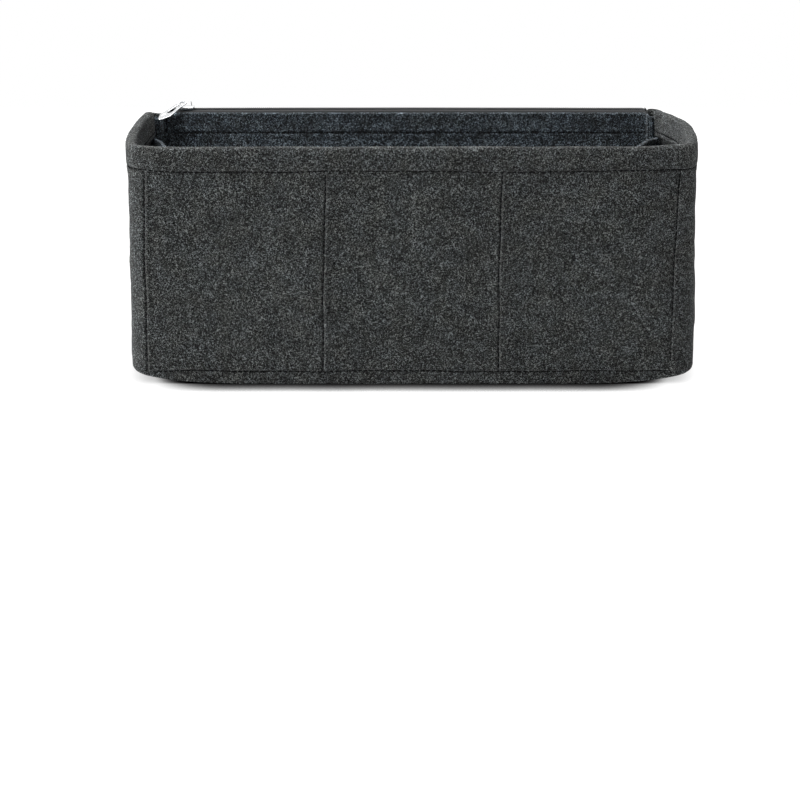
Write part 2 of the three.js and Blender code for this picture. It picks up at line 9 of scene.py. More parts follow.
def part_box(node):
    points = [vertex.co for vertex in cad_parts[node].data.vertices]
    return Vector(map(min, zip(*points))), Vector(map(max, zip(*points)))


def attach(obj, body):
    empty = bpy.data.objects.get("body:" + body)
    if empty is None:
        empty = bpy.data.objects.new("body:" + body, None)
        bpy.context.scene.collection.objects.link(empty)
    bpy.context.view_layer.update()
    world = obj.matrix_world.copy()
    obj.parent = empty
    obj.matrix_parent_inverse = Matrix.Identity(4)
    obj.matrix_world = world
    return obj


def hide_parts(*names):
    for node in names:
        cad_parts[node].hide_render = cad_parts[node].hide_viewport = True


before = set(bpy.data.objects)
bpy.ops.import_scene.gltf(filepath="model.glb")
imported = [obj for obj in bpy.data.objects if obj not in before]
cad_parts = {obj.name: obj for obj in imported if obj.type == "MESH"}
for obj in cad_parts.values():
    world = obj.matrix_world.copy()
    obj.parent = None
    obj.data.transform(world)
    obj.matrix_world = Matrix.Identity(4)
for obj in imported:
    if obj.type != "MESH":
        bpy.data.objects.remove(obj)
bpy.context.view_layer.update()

MM = 0.001

# Sizes that the frame gives
wall_low, wall_high = (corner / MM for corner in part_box("wall_band"))
_, rear_high = (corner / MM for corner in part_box("rear_wall"))
body_half = round(wall_high.x, 1)
body_height = round(wall_high.z, 1)
front_y = round(wall_low.y, 1)
rear_y = round(rear_high.y, 1)

# Felt and clearances
wall_felt = 3.0
inner_felt = 2.4
seam_gap = 0.3
cut_round = 0.8             # how far in from a cut edge the felt keeps its full thickness
thin_cut_round = 0.7
skin = 0.01                 # a place nearer than this to a face is on it
end_slack = 4.3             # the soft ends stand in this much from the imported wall
rim_rise = 0.7              # and the soft fold of the rim stands up this much
fold_power_share = 0.75     # 1 is a round fold, and less is a squarer one
hem_swell = 0.5             # the doubled hem stands out from the wall below it
hem_swell_rise = 4.0
foot_flare = 1.8            # the right end leans out this much at its foot
foot_flare_zone = (118.0, 150.0)

# Plan of the wall
front_corner_inset = 7.7
front_corner_reach = 10.3
front_corner_depth = 12.0
rear_corner_inset = 11.0
rear_corner_reach = 4.0
rear_corner_depth = 5.0
rear_wall_inset = 1.5
flange_width = 9.9
hem_end_inset = 10.8
flange_dip = 2.9            # the flanges slope down to their ends, below the rear wall's edge
flange_dip_zone = (148.5, 153.5)

# Heights
hem_height = 16.0
hem_stitch_drop = 13.0
rear_rim_drop = 2.3
base_seam_height = 7.6
base_lip_height = 16.0
lift_reach = 104.0
lift_power = 4.6
lift_zone = 14.0            # the rows below this height follow the lifted lower edge

# Front pocket panel: each mouth starts, is widest and ends at a share of its bay
panel_end_inset = 1.0
bay_lines = (-48.8, 50.8)
mouth_depths = {"left": 9.8, "middle": 9.7, "right": 12.0}
mouth_shares = {"left": (0.01, 0.2, 0.55), "middle": (0.04, 0.48, 0.92), "right": (0.02, 0.63, 0.95)}
mouth_power = 1.5
mouth_foot_share = 0.6      # of the depth that a mouth keeps at its foot

# End dividers: apex inset, apex offset, front and rear insets, power
divider_foot_inset = 10.0
left_divider = {"apex": 34.0, "offset": -22.0, "front": 12.0, "rear": 10.0, "power": 1.1}
right_divider = {"apex": 35.3, "offset": 0.0, "front": 10.0, "rear": 9.0, "power": 2.2}

# Zip pocket panel and zip
zip_space = 7.8
zip_panel_drop = 3.3
panel_tail_inset = 0.5
panel_tail_length = 4.5
panel_jog_length = 5.0
zip_end_inset = 0.5
tape_thickness = 0.6
tape_depth = 14.0
tape_bend = 1.0
tape_drop = 2.3
coil_width = 1.4
coil_height = 1.0
coil_slot = 1.2
tack_inset = 1.6

# Stitch lines
thread_radius = 0.36
stitch_pitch = 3.3
stitch_share = 0.78         # of the pitch that shows as thread
base_seam_inset = 5.0
rear_seam_inset = 7.0
rear_seam_top_drop = 8.0
zip_seam_drop = 12.4
zip_seam_inset = 4.0
zip_seam_share = 0.8        # this line lies nearer to the face of the felt
seam_end_gap = 1.5
hem_seam_end_gap = 2.0
groove_depth = 0.75         # a level line of stitches
groove_width = 0.45
hem_inner_share = 0.7       # the hem's line is fainter on the inside
rear_zip_groove_share = 0.6
base_groove_share = 1.4     # the base seam is drawn in more than the others
lip_height = 0.18
lip_offset = 1.6
lip_width = 1.0
pinch_depth = 1.5           # an upright line pinches the front wall more, and its +X side stands out
pinch_width = 0.42
pinch_rise = 1.0
pinch_offset = 1.7
pinch_reach = 1.5
pinch_side_share = 0.35
pinch_seat_share = 1 / 3    # of the raised sides, at the thread between them

# Steps of the meshes
band_step = 1.7
outer_row_step = 1.9
inner_row_step = 2.1
hem_seam_near = 1.5
sheet_step = 2.0
pocket_step = 1.9
tape_step = 1.6
tape_row_step = 0.6

# Places that follow from the sizes above
front_corner_half = body_half - front_corner_inset
front_flat_half = front_corner_half - front_corner_reach
rear_corner_half = body_half - rear_corner_inset
rear_wall_half = rear_corner_half - rear_wall_inset
flange_end_half = rear_wall_half - flange_width
rear_inner_y = rear_y - wall_felt
flange_y = rear_inner_y - seam_gap
hem_end_y = rear_y - hem_end_inset
hem_bottom = body_height - hem_height
inner_top = hem_bottom - seam_gap
hem_seam_z = body_height - hem_stitch_drop
rear_wall_top = body_height - rear_rim_drop
rear_seam_x = rear_wall_half - rear_seam_inset
rear_seam_top = rear_wall_top - rear_seam_top_drop
lift_start_half = front_corner_half - lift_reach
panel_end_half = front_flat_half - panel_end_inset
panel_tail_half = rear_wall_half - panel_tail_inset
panel_jog_end = panel_tail_half - panel_tail_length
panel_jog_start = panel_jog_end - panel_jog_length
zip_half = panel_jog_start - zip_end_inset
zip_panel_top = body_height - zip_panel_drop
zip_panel_rear_y = rear_inner_y - zip_space
zip_y = rear_inner_y - zip_space / 2
zip_seam_z = zip_panel_top - zip_seam_drop
zip_seam_half = zip_half - zip_seam_inset
tape_top = body_height - tape_drop
room_inset = wall_felt + seam_gap
base_seam_half = front_flat_half - base_seam_inset
seam_low = base_seam_height + seam_end_gap
thread_sink = groove_depth - thread_radius * 0.7
pinch_sink = pinch_depth - pinch_rise * (1 + pinch_side_share) * pinch_seat_share - thread_radius

# Seeds of what is random, the same in each run
seeds = {"wall": 3, "stitches": 5, "rear": 7, "wall_lumps": 21, "rear_lumps": 31, "tray": 41,
         "pocket": 51, "left_end_divider": 61, "right_end_divider": 71, "zip_panel": 81}


# Random ripples and plan paths

def ripple(spots, wavelength, seed, waves=14):
    """A smooth random ripple of about -1 to 1 at each spot."""
    chance = np.random.default_rng(seed)
    ways = unit(chance.normal(size=(waves, 3)))
    pace = 2 * math.pi / wavelength * chance.uniform(0.7, 1.4, size=(waves, 1))
    phase = chance.uniform(0, 2 * math.pi, size=waves)
    return np.cos(spots @ (ways * pace).T + phase).sum(axis=-1) / math.sqrt(waves)


def waver(at, waves):
    """A gentle wander: the sum of sines that are given as (depth, pace, phase)."""
    return sum(depth * np.sin(at / pace + phase) for depth, pace, phase in waves)


def smooth_step(value, start, end):
    share = np.clip((value - start) / (end - start), 0, 1)
    return share * share * (3 - 2 * share)


def unit(vectors):
    return vectors / np.linalg.norm(vectors, axis=-1)[..., None]


def ring_way(path):
    """The way along a closed path at each of its points."""
    return unit(np.roll(path, -1, axis=0) - np.roll(path, 1, axis=0))


def full_turn(steps):
    return np.linspace(0, 2 * math.pi, steps, endpoint=False)


class Plan:
    """A path in plan, read by the distance along it."""

    def __init__(self, points):
        self.points = np.array(points, float)
        steps = np.linalg.norm(np.diff(self.points, axis=0), axis=1)
        self.at = np.concatenate([[0], np.cumsum(steps)])
        self.length = self.at[-1]

    def spots(self, distance):
        """X and Y at each distance along the path."""
        distance = np.asarray(distance, float)
        return np.stack([np.interp(distance, self.at, axis) for axis in self.points.T], axis=-1)

    def sides(self, distance, reach=0.8):
        """Unit vector to the left of the path at each distance."""
        ahead = self.spots(np.clip(distance + reach, 0, self.length))
        behind = self.spots(np.clip(distance - reach, 0, self.length))
        way = unit(ahead - behind)
        return np.stack([-way[..., 1], way[..., 0]], axis=-1)

    def nearest(self, spot):
        """Distance from a spot to the path."""
        return float(np.min(np.linalg.norm(self.points - np.array(spot), axis=1)))


def bezier(start, control, end, steps=24):
    share = np.linspace(0, 1, steps)[:, None]
    start, control, end = (np.array(p, float) for p in (start, control, end))
    return start * (1 - share) ** 2 + 2 * control * share * (1 - share) + end * share**2


def fine_path(points, step=0.25):
    """The same path with points close together."""
    plan = Plan(points)
    return plan.spots(np.linspace(0, plan.length, int(plan.length / step) + 1))


def mirror(half):
    """The mirror image of half an outline over the X axis, from its end back to its start."""
    return [(x, -y) for x, y in reversed(half)]


def make_wall_plan():
    """Outer face of the wall, clockwise from the right rear flange round to the left one."""
    mean = (front_corner_half + rear_corner_half) / 2
    lean = (rear_corner_half - front_corner_half) / 2
    reach = body_half - end_slack - mean
    bulge = (reach + math.sqrt(reach**2 - lean**2)) / 2
    front = front_y + front_corner_depth
    rear = flange_y - rear_corner_depth
    half_depth = (rear - front) / 2
    rear_slope = (lean - 2 * bulge) / half_depth
    front_slope = (lean + 2 * bulge) / half_depth
    rear_control = (rear_corner_half + rear_slope * rear_corner_depth, flange_y)
    front_control = (front_corner_half - front_slope * front_corner_depth, front_y)
    rear_start = (rear_control[0] - rear_corner_reach, flange_y)
    rear_corner = bezier(rear_start, rear_control, (rear_corner_half, rear))
    front_corner = bezier((front_corner_half, front), front_control, (front_flat_half, front_y))
    share = np.linspace(1, -1, 60)[1:-1]
    end = np.stack([mean + lean * share + bulge * (1 - share**2), front + (share + 1) * half_depth], axis=1)
    right = np.concatenate([[(flange_end_half, flange_y)], rear_corner, end, front_corner])
    left = (right * (-1, 1))[::-1]
    return Plan(fine_path(np.concatenate([right, left])))


wall_plan = make_wall_plan()


def lifted(x, z):
    """A height that follows the lower edge near the floor, where the edge lifts towards the ends."""
    share = np.clip((np.abs(x) - lift_start_half) / lift_reach, 0, 1)
    lift = base_seam_height * share**lift_power
    return np.where(z < lift_zone, lift + z * (lift_zone - lift) / lift_zone, z)


def over_tray(x, z):
    """Height of a row of an inner sheet, whose foot stands on the base tray."""
    return lifted(x, np.where(z < lift_zone, z + room_inset * (1 - z / lift_zone), z))


def stations(start, end, step, places=(), near=2.6, fine=0.33):
    """Positions from start to end, closer together around the given places."""
    found = list(np.linspace(start, end, max(2, int((end - start) / step) + 1)))
    for place in places:
        found += list(np.arange(place - near, place + near + fine / 2, fine))
    found = sorted(p for p in found if start <= p <= end)
    kept = [start]
    for position in found:
        if position - kept[-1] > fine * 0.6:
            kept.append(position)
    if end - kept[-1] < fine * 0.5:
        kept.pop()
    return np.array([*kept, end])


def edge_stations(rounding, start, end, step, places=()):
    """Stations whose ends are close enough together to round a cut edge."""
    edge_shares = np.array([0, 0.04, 0.15, 0.38, 0.68])
    inner = stations(start + rounding, end - rounding, step, places)
    return np.concatenate([start + edge_shares * rounding, inner, (end - edge_shares * rounding)[::-1]])


# Meshes

# The corners of the soft insert settle: each moves by this much at its spot, and the rim drops most.
# Nothing moves nearer to the middle than a dent's start, so the zip stays straight.
# The foot share is how much of a sideways move the foot of the wall makes.
corner_dents = ({"spot": (163.0, 62.0), "spread": 42.0, "start": 142.0, "run": 11.0,
                 "move": (-3.0, -4.5, -2.1), "foot_share": 0.4},
                {"spot": (152.0, 68.0), "spread": 14.0, "start": 144.0, "run": 9.0,
                 "move": (-4.0, 0.0, 0.0), "foot_share": 0.4},
                {"spot": (-155.0, 70.0), "spread": 19.0, "start": 143.0, "run": 10.0,
                 "move": (-6.0, -2.4, -5.0), "foot_share": 0.6},
                {"spot": (-172.0, 5.0), "spread": 60.0, "start": 148.0, "run": 12.0,
                 "move": (1.6, 0.0, -0.5), "foot_share": 0.4},
                {"spot": (168.0, -70.0), "spread": 32.0, "start": 122.0, "run": 24.0,
                 "move": (0.8, 9.5, 0.0), "foot_share": 0.02},
                {"spot": (-166.0, -70.0), "spread": 22.0, "start": 138.0, "run": 18.0,
                 "move": (0.0, 5.0, 0.0), "foot_share": 0.02})
dent_drop_power = 5
weld_reach = 0.002
sliver_length = 0.001


def settle(points):
    """Where the points of the plain form lie once its corners have settled."""
    height = points[:, 2] / body_height
    moved = points.copy()
    for dent in corner_dents:
        spot_x, spot_y = dent["spot"]
        away = np.hypot(points[:, 0] - spot_x, points[:, 1] - spot_y)
        weight = np.exp(-((away / dent["spread"]) ** 2))
        outwards = points[:, 0] * math.copysign(1, spot_x)
        weight *= smooth_step(outwards, dent["start"], dent["start"] + dent["run"])
        aside = weight * (dent["foot_share"] + (1 - dent["foot_share"]) * height)
        moved[:, 0] += dent["move"][0] * aside
        moved[:, 1] += dent["move"][1] * aside
        moved[:, 2] += dent["move"][2] * weight * height**dent_drop_power
    moved[:, 0] += foot_flare * smooth_step(points[:, 0], *foot_flare_zone) * (1 - height)
    return moved


def linked(name, data):
    """A new object in the scene."""
    obj = bpy.data.objects.new(name, data)
    bpy.context.scene.collection.objects.link(obj)
    return obj


def clean(mesh, weld, sliver=0.0):
    """Weld what lies together, take out slivers if asked, and turn the faces out."""
    work = bmesh.new()
    work.from_mesh(mesh)
    bmesh.ops.remove_doubles(work, verts=work.verts, dist=weld * MM)
    if sliver:
        bmesh.ops.dissolve_degenerate(work, edges=work.edges, dist=sliver * MM)
    bmesh.ops.recalc_face_normals(work, faces=work.faces)
    work.to_mesh(mesh)
    work.free()


def mesh_object(name, points, faces, soft=True):
    """A closed smooth mesh object from points in millimetres."""
    points = np.asarray(points, float).reshape(-1, 3)
    points = settle(points) if soft else points
    mesh = bpy.data.meshes.new(name)
    mesh.from_pydata((points * MM).tolist(), [], faces)
    clean(mesh, weld_reach, sliver_length)
    mesh.polygons.foreach_set("use_smooth", [True] * len(mesh.polygons))
    return linked(name, mesh)


def grid_faces(rows, columns, offset=0, wrap=False):
    """Quads of a grid whose vertices run along each row."""
    index = np.arange(rows * columns).reshape(rows, columns) + offset
    if wrap:
        index = np.concatenate([index, index[:, :1]], axis=1)
    quads = np.stack([index[:-1, :-1], index[:-1, 1:], index[1:, 1:], index[1:, :-1]], axis=-1)
    return quads.reshape(-1, 4).tolist()


def stack_faces(rings, sides):
    """Faces over a stack of rings, with a cap at each end."""
    last = (rings - 1) * sides
    return [*grid_faces(rings, sides, wrap=True), list(range(sides)), list(range(last, last + sides))]


def slab(name, middle, across, along, thickness, rounding, relief=None):
    """A sheet with rounded cut edges. middle(A, B) gives its middle surface on a grid, and
    relief(spots) gives what is added to each face there, away from the edges."""
    a, b = np.meshgrid(across, along, indexing="ij")
    centre = middle(a, b)
    normal = unit(np.cross(np.gradient(centre, axis=0), np.gradient(centre, axis=1)))
    edge = np.minimum(np.minimum(a - across[0], across[-1] - a), np.minimum(b - along[0], along[-1] - b))
    share = 1 - np.clip(edge / rounding, 0, 1)
    half = thickness / 2 * np.sqrt(np.maximum(1 - share**2, 0))
    front_relief, back_relief = relief(centre) if relief else (0, 0)
    full = half > thickness * 0.3
    front = centre + normal * (half + front_relief * full)[..., None]
    back = centre - normal * (half + back_relief * full)[..., None]
    points = np.concatenate([front.reshape(-1, 3), back.reshape(-1, 3)])
    return mesh_object(name, points, grid_faces(*a.shape) + grid_faces(*a.shape, a.size))


class Pile:
    """Tubes, plates and stacks of rings that are gathered into one mesh."""

    def __init__(self):
        self.points = []
        self.faces = []
        self.count = 0

    def add(self, points, faces):
        self.points.append(np.asarray(points, float).reshape(-1, 3))
        self.faces += [[index + self.count for index in face] for face in faces]
        self.count += len(self.points[-1])

    def stack(self, rings):
        """A closed form over rings that have the same number of points."""
        self.add(np.array(rings), stack_faces(len(rings), len(rings[0])))

    def tube(self, path, radius, sides, closed=False):
        """A round tube along a path."""
        path = np.asarray(path, float)
        way = ring_way(path) if closed else unit(np.gradient(path, axis=0))
        level = abs(way[:, 2]).mean() < 0.7
        first = unit(np.cross(way, (0.0, 0.0, 1.0) if level else (0.0, 1.0, 0.0)))
        second = np.cross(first, way)
        angle = full_turn(sides)
        ring = first[:, None] * np.cos(angle)[None, :, None] + second[:, None] * np.sin(angle)[None, :, None]
        points = path[:, None] + ring * radius
        if not closed:
            self.stack(points)
            return
        last = (len(path) - 1) * sides
        joins = [[last + s, last + (s + 1) % sides, (s + 1) % sides, s] for s in range(sides)]
        self.add(points, grid_faces(len(path), sides, wrap=True) + joins)

    def plate(self, outline, low, high, bevel, dome=0.0, steps=4):
        """A flat plate with rounded rims, and a domed top if asked."""
        outline = np.asarray(outline, float)
        way = ring_way(outline)
        inward = np.stack([-way[:, 1], way[:, 0]], axis=1)
        turn = np.linspace(0, math.pi / 2, steps)
        inset = [*(bevel * (1 - np.sin(turn))), *(bevel * (1 - np.cos(turn)))]
        height = [*(low + bevel * (1 - np.cos(turn))), *(high - bevel * (1 - np.sin(turn)))]
        rings = [np.column_stack([outline + inward * step, np.full(len(outline), z)])
                 for step, z in zip(inset, height)]
        middle = outline.mean(axis=0)
        flat = rings[-1][:, :2]
        for share in (0.8, 0.55, 0.3):
            spread = middle + (flat - middle) * share
            rings.append(np.column_stack([spread, np.full(len(flat), high + dome * (1 - share**2))]))
        self.stack(rings)

    def build(self, name, soft=True):
        return mesh_object(name, np.concatenate(self.points), self.faces, soft)


# Materials

class Nodes:
    """A short way to write a node tree."""

    def __init__(self, tree):
        self.tree = tree

    def set(self, socket, value):
        if isinstance(value, bpy.types.NodeSocket):
            self.tree.links.new(value, socket)
        else:
            socket.default_value = value

    def node(self, kind, settings=(), **inputs):
        made = self.tree.nodes.new(kind)
        for key, value in dict(settings).items():
            setattr(made, key, value)
        for socket, value in inputs.items():
            self.set(made.inputs[socket.replace("_", " ")], value)
        return made

    def math(self, operation, *values, clamp=False):
        made = self.node("ShaderNodeMath", {"operation": operation, "use_clamp": clamp})
        for socket, value in zip(made.inputs, values):
            self.set(socket, value)
        return made.outputs[0]

    def show(self, seen, lit, output):
        """Let the camera, metal and glass see one thing, while all other light meets another."""
        rays = self.node("ShaderNodeLightPath").outputs
        factor = self.math("MAXIMUM", rays["Is Camera Ray"], rays["Is Glossy Ray"])
        factor = self.math("MAXIMUM", factor, rays["Is Transmission Ray"])
        mix = self.node("ShaderNodeMixShader")
        for socket, value in zip(mix.inputs, (factor, lit.outputs[0], seen.outputs[0])):
            self.set(socket, value)
        self.set(self.tree.nodes[output].inputs["Surface"], mix.outputs[0])


class Recipe(Nodes):
    """A material that is mixed from nodes."""

    def __init__(self, name, **values):
        self.material = bpy.data.materials.new(name)
        self.material.use_nodes = True
        super().__init__(self.material.node_tree)
        self.shader = self.tree.nodes["Principled BSDF"]
        for socket, value in values.items():
            self.set(self.shader.inputs[socket.replace("_", " ")], value)
        self.place = self.node("ShaderNodeTexCoord").outputs["Object"]

    def stretched(self, turn, scale=(1.0, 1.0, 1.0)):
        """The place, turned and then stretched."""
        return self.node("ShaderNodeMapping", Vector=self.place, Rotation=turn, Scale=scale).outputs[0]

    def noise(self, size, detail=2.0, distortion=0.0, rough=0.5, place=None):
        """Noise whose spots are about size millimetres across."""
        made = self.node("ShaderNodeTexNoise", Vector=place or self.place, Scale=1 / (size * MM),
                         Detail=detail, Distortion=distortion, Roughness=rough)
        return made.outputs["Fac"]

    def bands(self, size, place=None, way="X", distortion=0.0):
        """Even bands, with size millimetres for each turn of the wave's own scale."""
        made = self.node("ShaderNodeTexWave", {"bands_direction": way}, Vector=place or self.place,
                         Scale=1 / (size * MM), Distortion=distortion)
        return made.outputs["Fac"]

    def ridge(self, size, width, distortion, place=None):
        """Thin curved lines, 1 on a line and 0 off it, where a noise crosses its middle."""
        spots = self.noise(size, 1.0, distortion, place=place)
        away = self.math("ABSOLUTE", self.math("SUBTRACT", spots, 0.5))
        return self.math("SUBTRACT", 1.0, self.math("DIVIDE", away, width), clamp=True)

    def ramp(self, value, stops):
        made = self.node("ShaderNodeValToRGB", Fac=value)
        while len(made.color_ramp.elements) < len(stops):
            made.color_ramp.elements.new(0.5)
        for element, (position, colour) in zip(made.color_ramp.elements, stops):
            element.position = position
            element.color = (*colour, 1)
        return made.outputs["Color"]

    def finish(self, colour, height, depth, strength=1.0, roughness=None):
        """The material with its colour, and with a bump that is depth millimetres deep."""
        bump = self.node("ShaderNodeBump", Height=height, Distance=depth * MM, Strength=strength)
        self.set(self.shader.inputs["Base Color"], colour)
        self.set(self.shader.inputs["Normal"], bump.outputs["Normal"])
        if roughness is not None:
            self.set(self.shader.inputs["Roughness"], roughness)
        return self.material


# How far across the spots and fibres of the felt are
felt_spots = {"ground": 0.8, "grain": 0.5, "pale": 1.8, "dark": 1.7, "patch": 1.5,
              "mottle": 6.5, "cloud": 34.0, "hue": 14.0}
felt_stop_shares = ((0.05, 0.05), (0.35, 0.25), (0.55, 0.7), (0.75, 1.8), (0.9, 5.0), (1.0, 11.5))
felt_bump = 0.55
twist_size = 0.9
twist_bump = 0.12
rib_size = 3.6
pick_size = 2.4
fuzz_size = 0.6
weave_bump = 0.15
coil_wear_size = 4.0
coil_grain_size = 0.4
coil_bump = 0.03
mark_size = 0.7
scratch_size = 0.5
scratch_bump = 0.012


def felt_material(name, colour, fibre, contrast, blotch=1.0):
    """Heathered felt: short pale and dark fibres lying every way over a mottled ground."""
    recipe = Recipe(name, Roughness=0.95, Specular_IOR_Level=0.15, Sheen_Weight=0.18, Sheen_Roughness=0.4)
    turned = recipe.stretched((0.9, 0.4, 0.7))
    combed = recipe.stretched((0.0, 0.0, 0.0), (1.0, 0.55, 1.0))
    ground = recipe.noise(felt_spots["ground"] * fibre, 2.0, 0.8, 0.75, place=combed)
    grain = recipe.noise(felt_spots["grain"] * fibre, 1.0, 0.4, place=combed)
    mottle = recipe.noise(felt_spots["mottle"])
    cloud = recipe.noise(felt_spots["cloud"], place=turned)
    pale = recipe.ridge(felt_spots["pale"] * fibre, 0.1, 1.5)
    dark = recipe.ridge(felt_spots["dark"] * fibre, 0.075, 1.8, place=turned)
    patch = recipe.noise(felt_spots["patch"] * fibre, 1.0, place=turned)
    shown = recipe.math("MULTIPLY", pale, recipe.math("GREATER_THAN", patch, 0.5))
    hidden = recipe.math("MULTIPLY", dark, recipe.math("LESS_THAN", patch, 0.52))
    level = 0.5
    parts = ((ground, 2.3 * contrast), (grain, 2.3 * contrast),
             (mottle, 0.35 * blotch), (cloud, 0.12 * blotch))
    for part, weight in parts:
        away = recipe.math("SUBTRACT", part, 0.5)
        level = recipe.math("ADD", recipe.math("MULTIPLY", away, weight), level)
    level = recipe.math("ADD", level, recipe.math("MULTIPLY", shown, 0.3 * contrast))
    level = recipe.math("SUBTRACT", level, recipe.math("MULTIPLY", hidden, 0.2 * contrast), clamp=True)
    stops = [(at, [channel * share for channel in colour]) for at, share in felt_stop_shares]
    shade = recipe.ramp(level, stops)
    hue = recipe.ramp(recipe.noise(felt_spots["hue"]), [(0.35, (1.02, 1.0, 0.96)), (0.62, (0.98, 1.0, 1.02))])
    mixed = recipe.node("ShaderNodeMix", {"data_type": "RGBA", "blend_type": "MULTIPLY"})
    for socket, value in ((0, 1.0), (6, shade), (7, hue)):
        recipe.set(mixed.inputs[socket], value)
    return recipe.finish(mixed.outputs[2], level, felt_bump)


def thread_material():
    """Dark sewing thread with a slanting twist."""
    recipe = Recipe("thread_finish", Roughness=0.75, Specular_IOR_Level=0.12)
    twist = recipe.bands(twist_size, recipe.stretched((0.5, 0.6, 0.3)), distortion=0.6)
    colour = recipe.ramp(twist, [(0.0, (0.003, 0.0034, 0.004)), (1.0, (0.013, 0.014, 0.015))])
    return recipe.finish(colour, twist, twist_bump, 0.8)


def tape_material():
    """Black woven zip tape: fine ribs along it and crossing picks."""
    recipe = Recipe("zip_tape_finish", Roughness=0.8, Sheen_Weight=0.15)
    weave = recipe.math("MULTIPLY", recipe.bands(rib_size, way="Z"), recipe.bands(pick_size))
    fuzz = recipe.math("MULTIPLY", recipe.noise(fuzz_size), 0.4)
    level = recipe.math("ADD", weave, fuzz)
    colour = recipe.ramp(level, [(0.1, (0.004, 0.0045, 0.005)), (1.0, (0.02, 0.021, 0.023))])
    return recipe.finish(colour, level, weave_bump, 0.7)


def coil_material():
    """Dark nylon monofilament, slightly worn on top."""
    recipe = Recipe("zip_coil_finish", Specular_IOR_Level=0.5)
    worn = recipe.noise(coil_wear_size, 3.0)
    colour = recipe.ramp(worn, [(0.3, (0.01, 0.011, 0.013)), (0.75, (0.032, 0.034, 0.037))])
    rough = recipe.math("MULTIPLY_ADD", worn, 0.3, 0.25)
    return recipe.finish(colour, recipe.noise(coil_grain_size), coil_bump, 0.4, rough)


def metal_material():
    """Polished plated metal with faint handling marks."""
    recipe = Recipe("bright_metal_finish", Metallic=1.0)
    marks = recipe.noise(mark_size, 4.0, 1.0)
    scratches = recipe.noise(scratch_size, place=recipe.stretched((0.3, 0.2, 0.7), (0.12, 1.0, 1.0)))
    colour = recipe.ramp(marks, [(0.3, (0.68, 0.69, 0.7)), (0.7, (0.84, 0.85, 0.86))])
    rough = recipe.math("MULTIPLY_ADD", marks, 0.16, 0.1)
    return recipe.finish(colour, scratches, scratch_bump, 0.5, rough)


finishes = {
    "wall_felt": felt_material("wall_felt_finish", (0.0283, 0.0306, 0.0306), 0.92, 1.05),
    "inner_felt": felt_material("inner_felt_finish", (0.046, 0.0563, 0.0655), 0.92, 0.88, 1.2),
    "thread": thread_material(),
    "zip_tape": tape_material(),
    "zip_coil": coil_material(),
    "bright_metal": metal_material(),
}


def place(obj, slot, node, body="root"):
    """Give a piece its finish and body, and hide the CAD node that it stands for."""
    obj.data.materials.clear()
    obj.data.materials.append(finishes[slot])
    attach(obj, body)
    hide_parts(node)


# What each kind of sheet is called, how thick it is and how its cut edges are rounded
sheet_kinds = {"wall_felt": ("_felt", wall_felt, cut_round),
               "inner_felt": ("_felt", inner_felt, thin_cut_round),
               "zip_tape": ("_weave", tape_thickness, tape_thickness / 3)}


def make_sheet(node, slot, middle, relief, across, along):
    """One sheet. Across and along each give its grid: start, end, step and the seams between."""
    suffix, thickness, rounding = sheet_kinds[slot]
    columns, rows = edge_stations(rounding, *across), edge_stations(rounding, *along)
    piece = slab(node + suffix, middle, columns, rows, thickness, rounding, relief)
    place(piece, slot, node)


# Stitch lines. Each is a length, and a function that gives spots along it and the ways out of the felt.

# Form of one stitch at shares of its length: how far it stands out and how thick it is, in thread radii
stitch_along_shares = np.array([-0.5, -0.44, -0.3, -0.1, 0.1, 0.3, 0.44, 0.5])
stitch_rise_shares = np.array([-1.6, -0.5, 0.25, 0.5, 0.5, 0.25, -0.5, -1.6])
stitch_width_shares = np.array([0.55, 0.85, 1.0, 1.0, 1.0, 1.0, 0.85, 0.55])
stitch_length_shares = (0.92, 1.06)
stitch_sides = 8
stitch_stray = 0.12
stitch_sway = 0.08


def groove(distance):
    """What a line of stitches adds to the felt beside it: a groove with a low swelling on each side."""
    lip = lip_height * np.exp(-(((np.abs(distance) - lip_offset) / lip_width) ** 2))
    return lip - groove_depth * np.exp(-((distance / groove_width) ** 2))


def pinch(distance):
    """What an upright line adds: a deeper groove with its higher side towards +X."""
    right = np.exp(-(((distance - pinch_offset) / pinch_reach) ** 2))
    left = pinch_side_share * np.exp(-(((distance + pinch_offset) / pinch_reach) ** 2))
    return pinch_rise * (right + left) - pinch_depth * np.exp(-((distance / pinch_width) ** 2))


def stitch_rings(length, spots, chance):
    """The rings of points of each stitch along one line."""
    count = max(1, int(length / stitch_pitch))
    middle = (np.arange(count) + 0.5) * length / count
    middle += chance.uniform(-stitch_stray, stitch_stray, count)
    reach = length / count * stitch_share * chance.uniform(*stitch_length_shares, count)
    start, out = spots(middle - reach / 2)
    end, _ = spots(middle + reach / 2)
    way = unit(end - start)
    side = np.cross(way, out)
    centre = (start + end) / 2 + side * chance.uniform(-stitch_sway, stitch_sway, count)[:, None]
    along = stitch_along_shares[None, :, None] * reach[:, None, None] * way[:, None, :]
    rise = stitch_rise_shares[None, :, None] * thread_radius * out[:, None, :]
    line = centre[:, None, :] + along + rise
    angle = full_turn(stitch_sides)
    across = np.cos(angle)[None, None, :, None] * out[:, None, None, :]
    across = across + np.sin(angle)[None, None, :, None] * side[:, None, None, :]
    return line[:, :, None, :] + across * (stitch_width_shares * thread_radius)[None, :, None, None]


def stitches(seam, *lines):
    """Short threads that dip into the felt at both ends."""
    chance = np.random.default_rng(seeds["stitches"])
    pile = Pile()
    for length, spots in lines:
        for stitch in stitch_rings(length, spots, chance):
            pile.stack(stitch)
    place(pile.build(seam + "_stitches"), "thread", seam + "_thread")


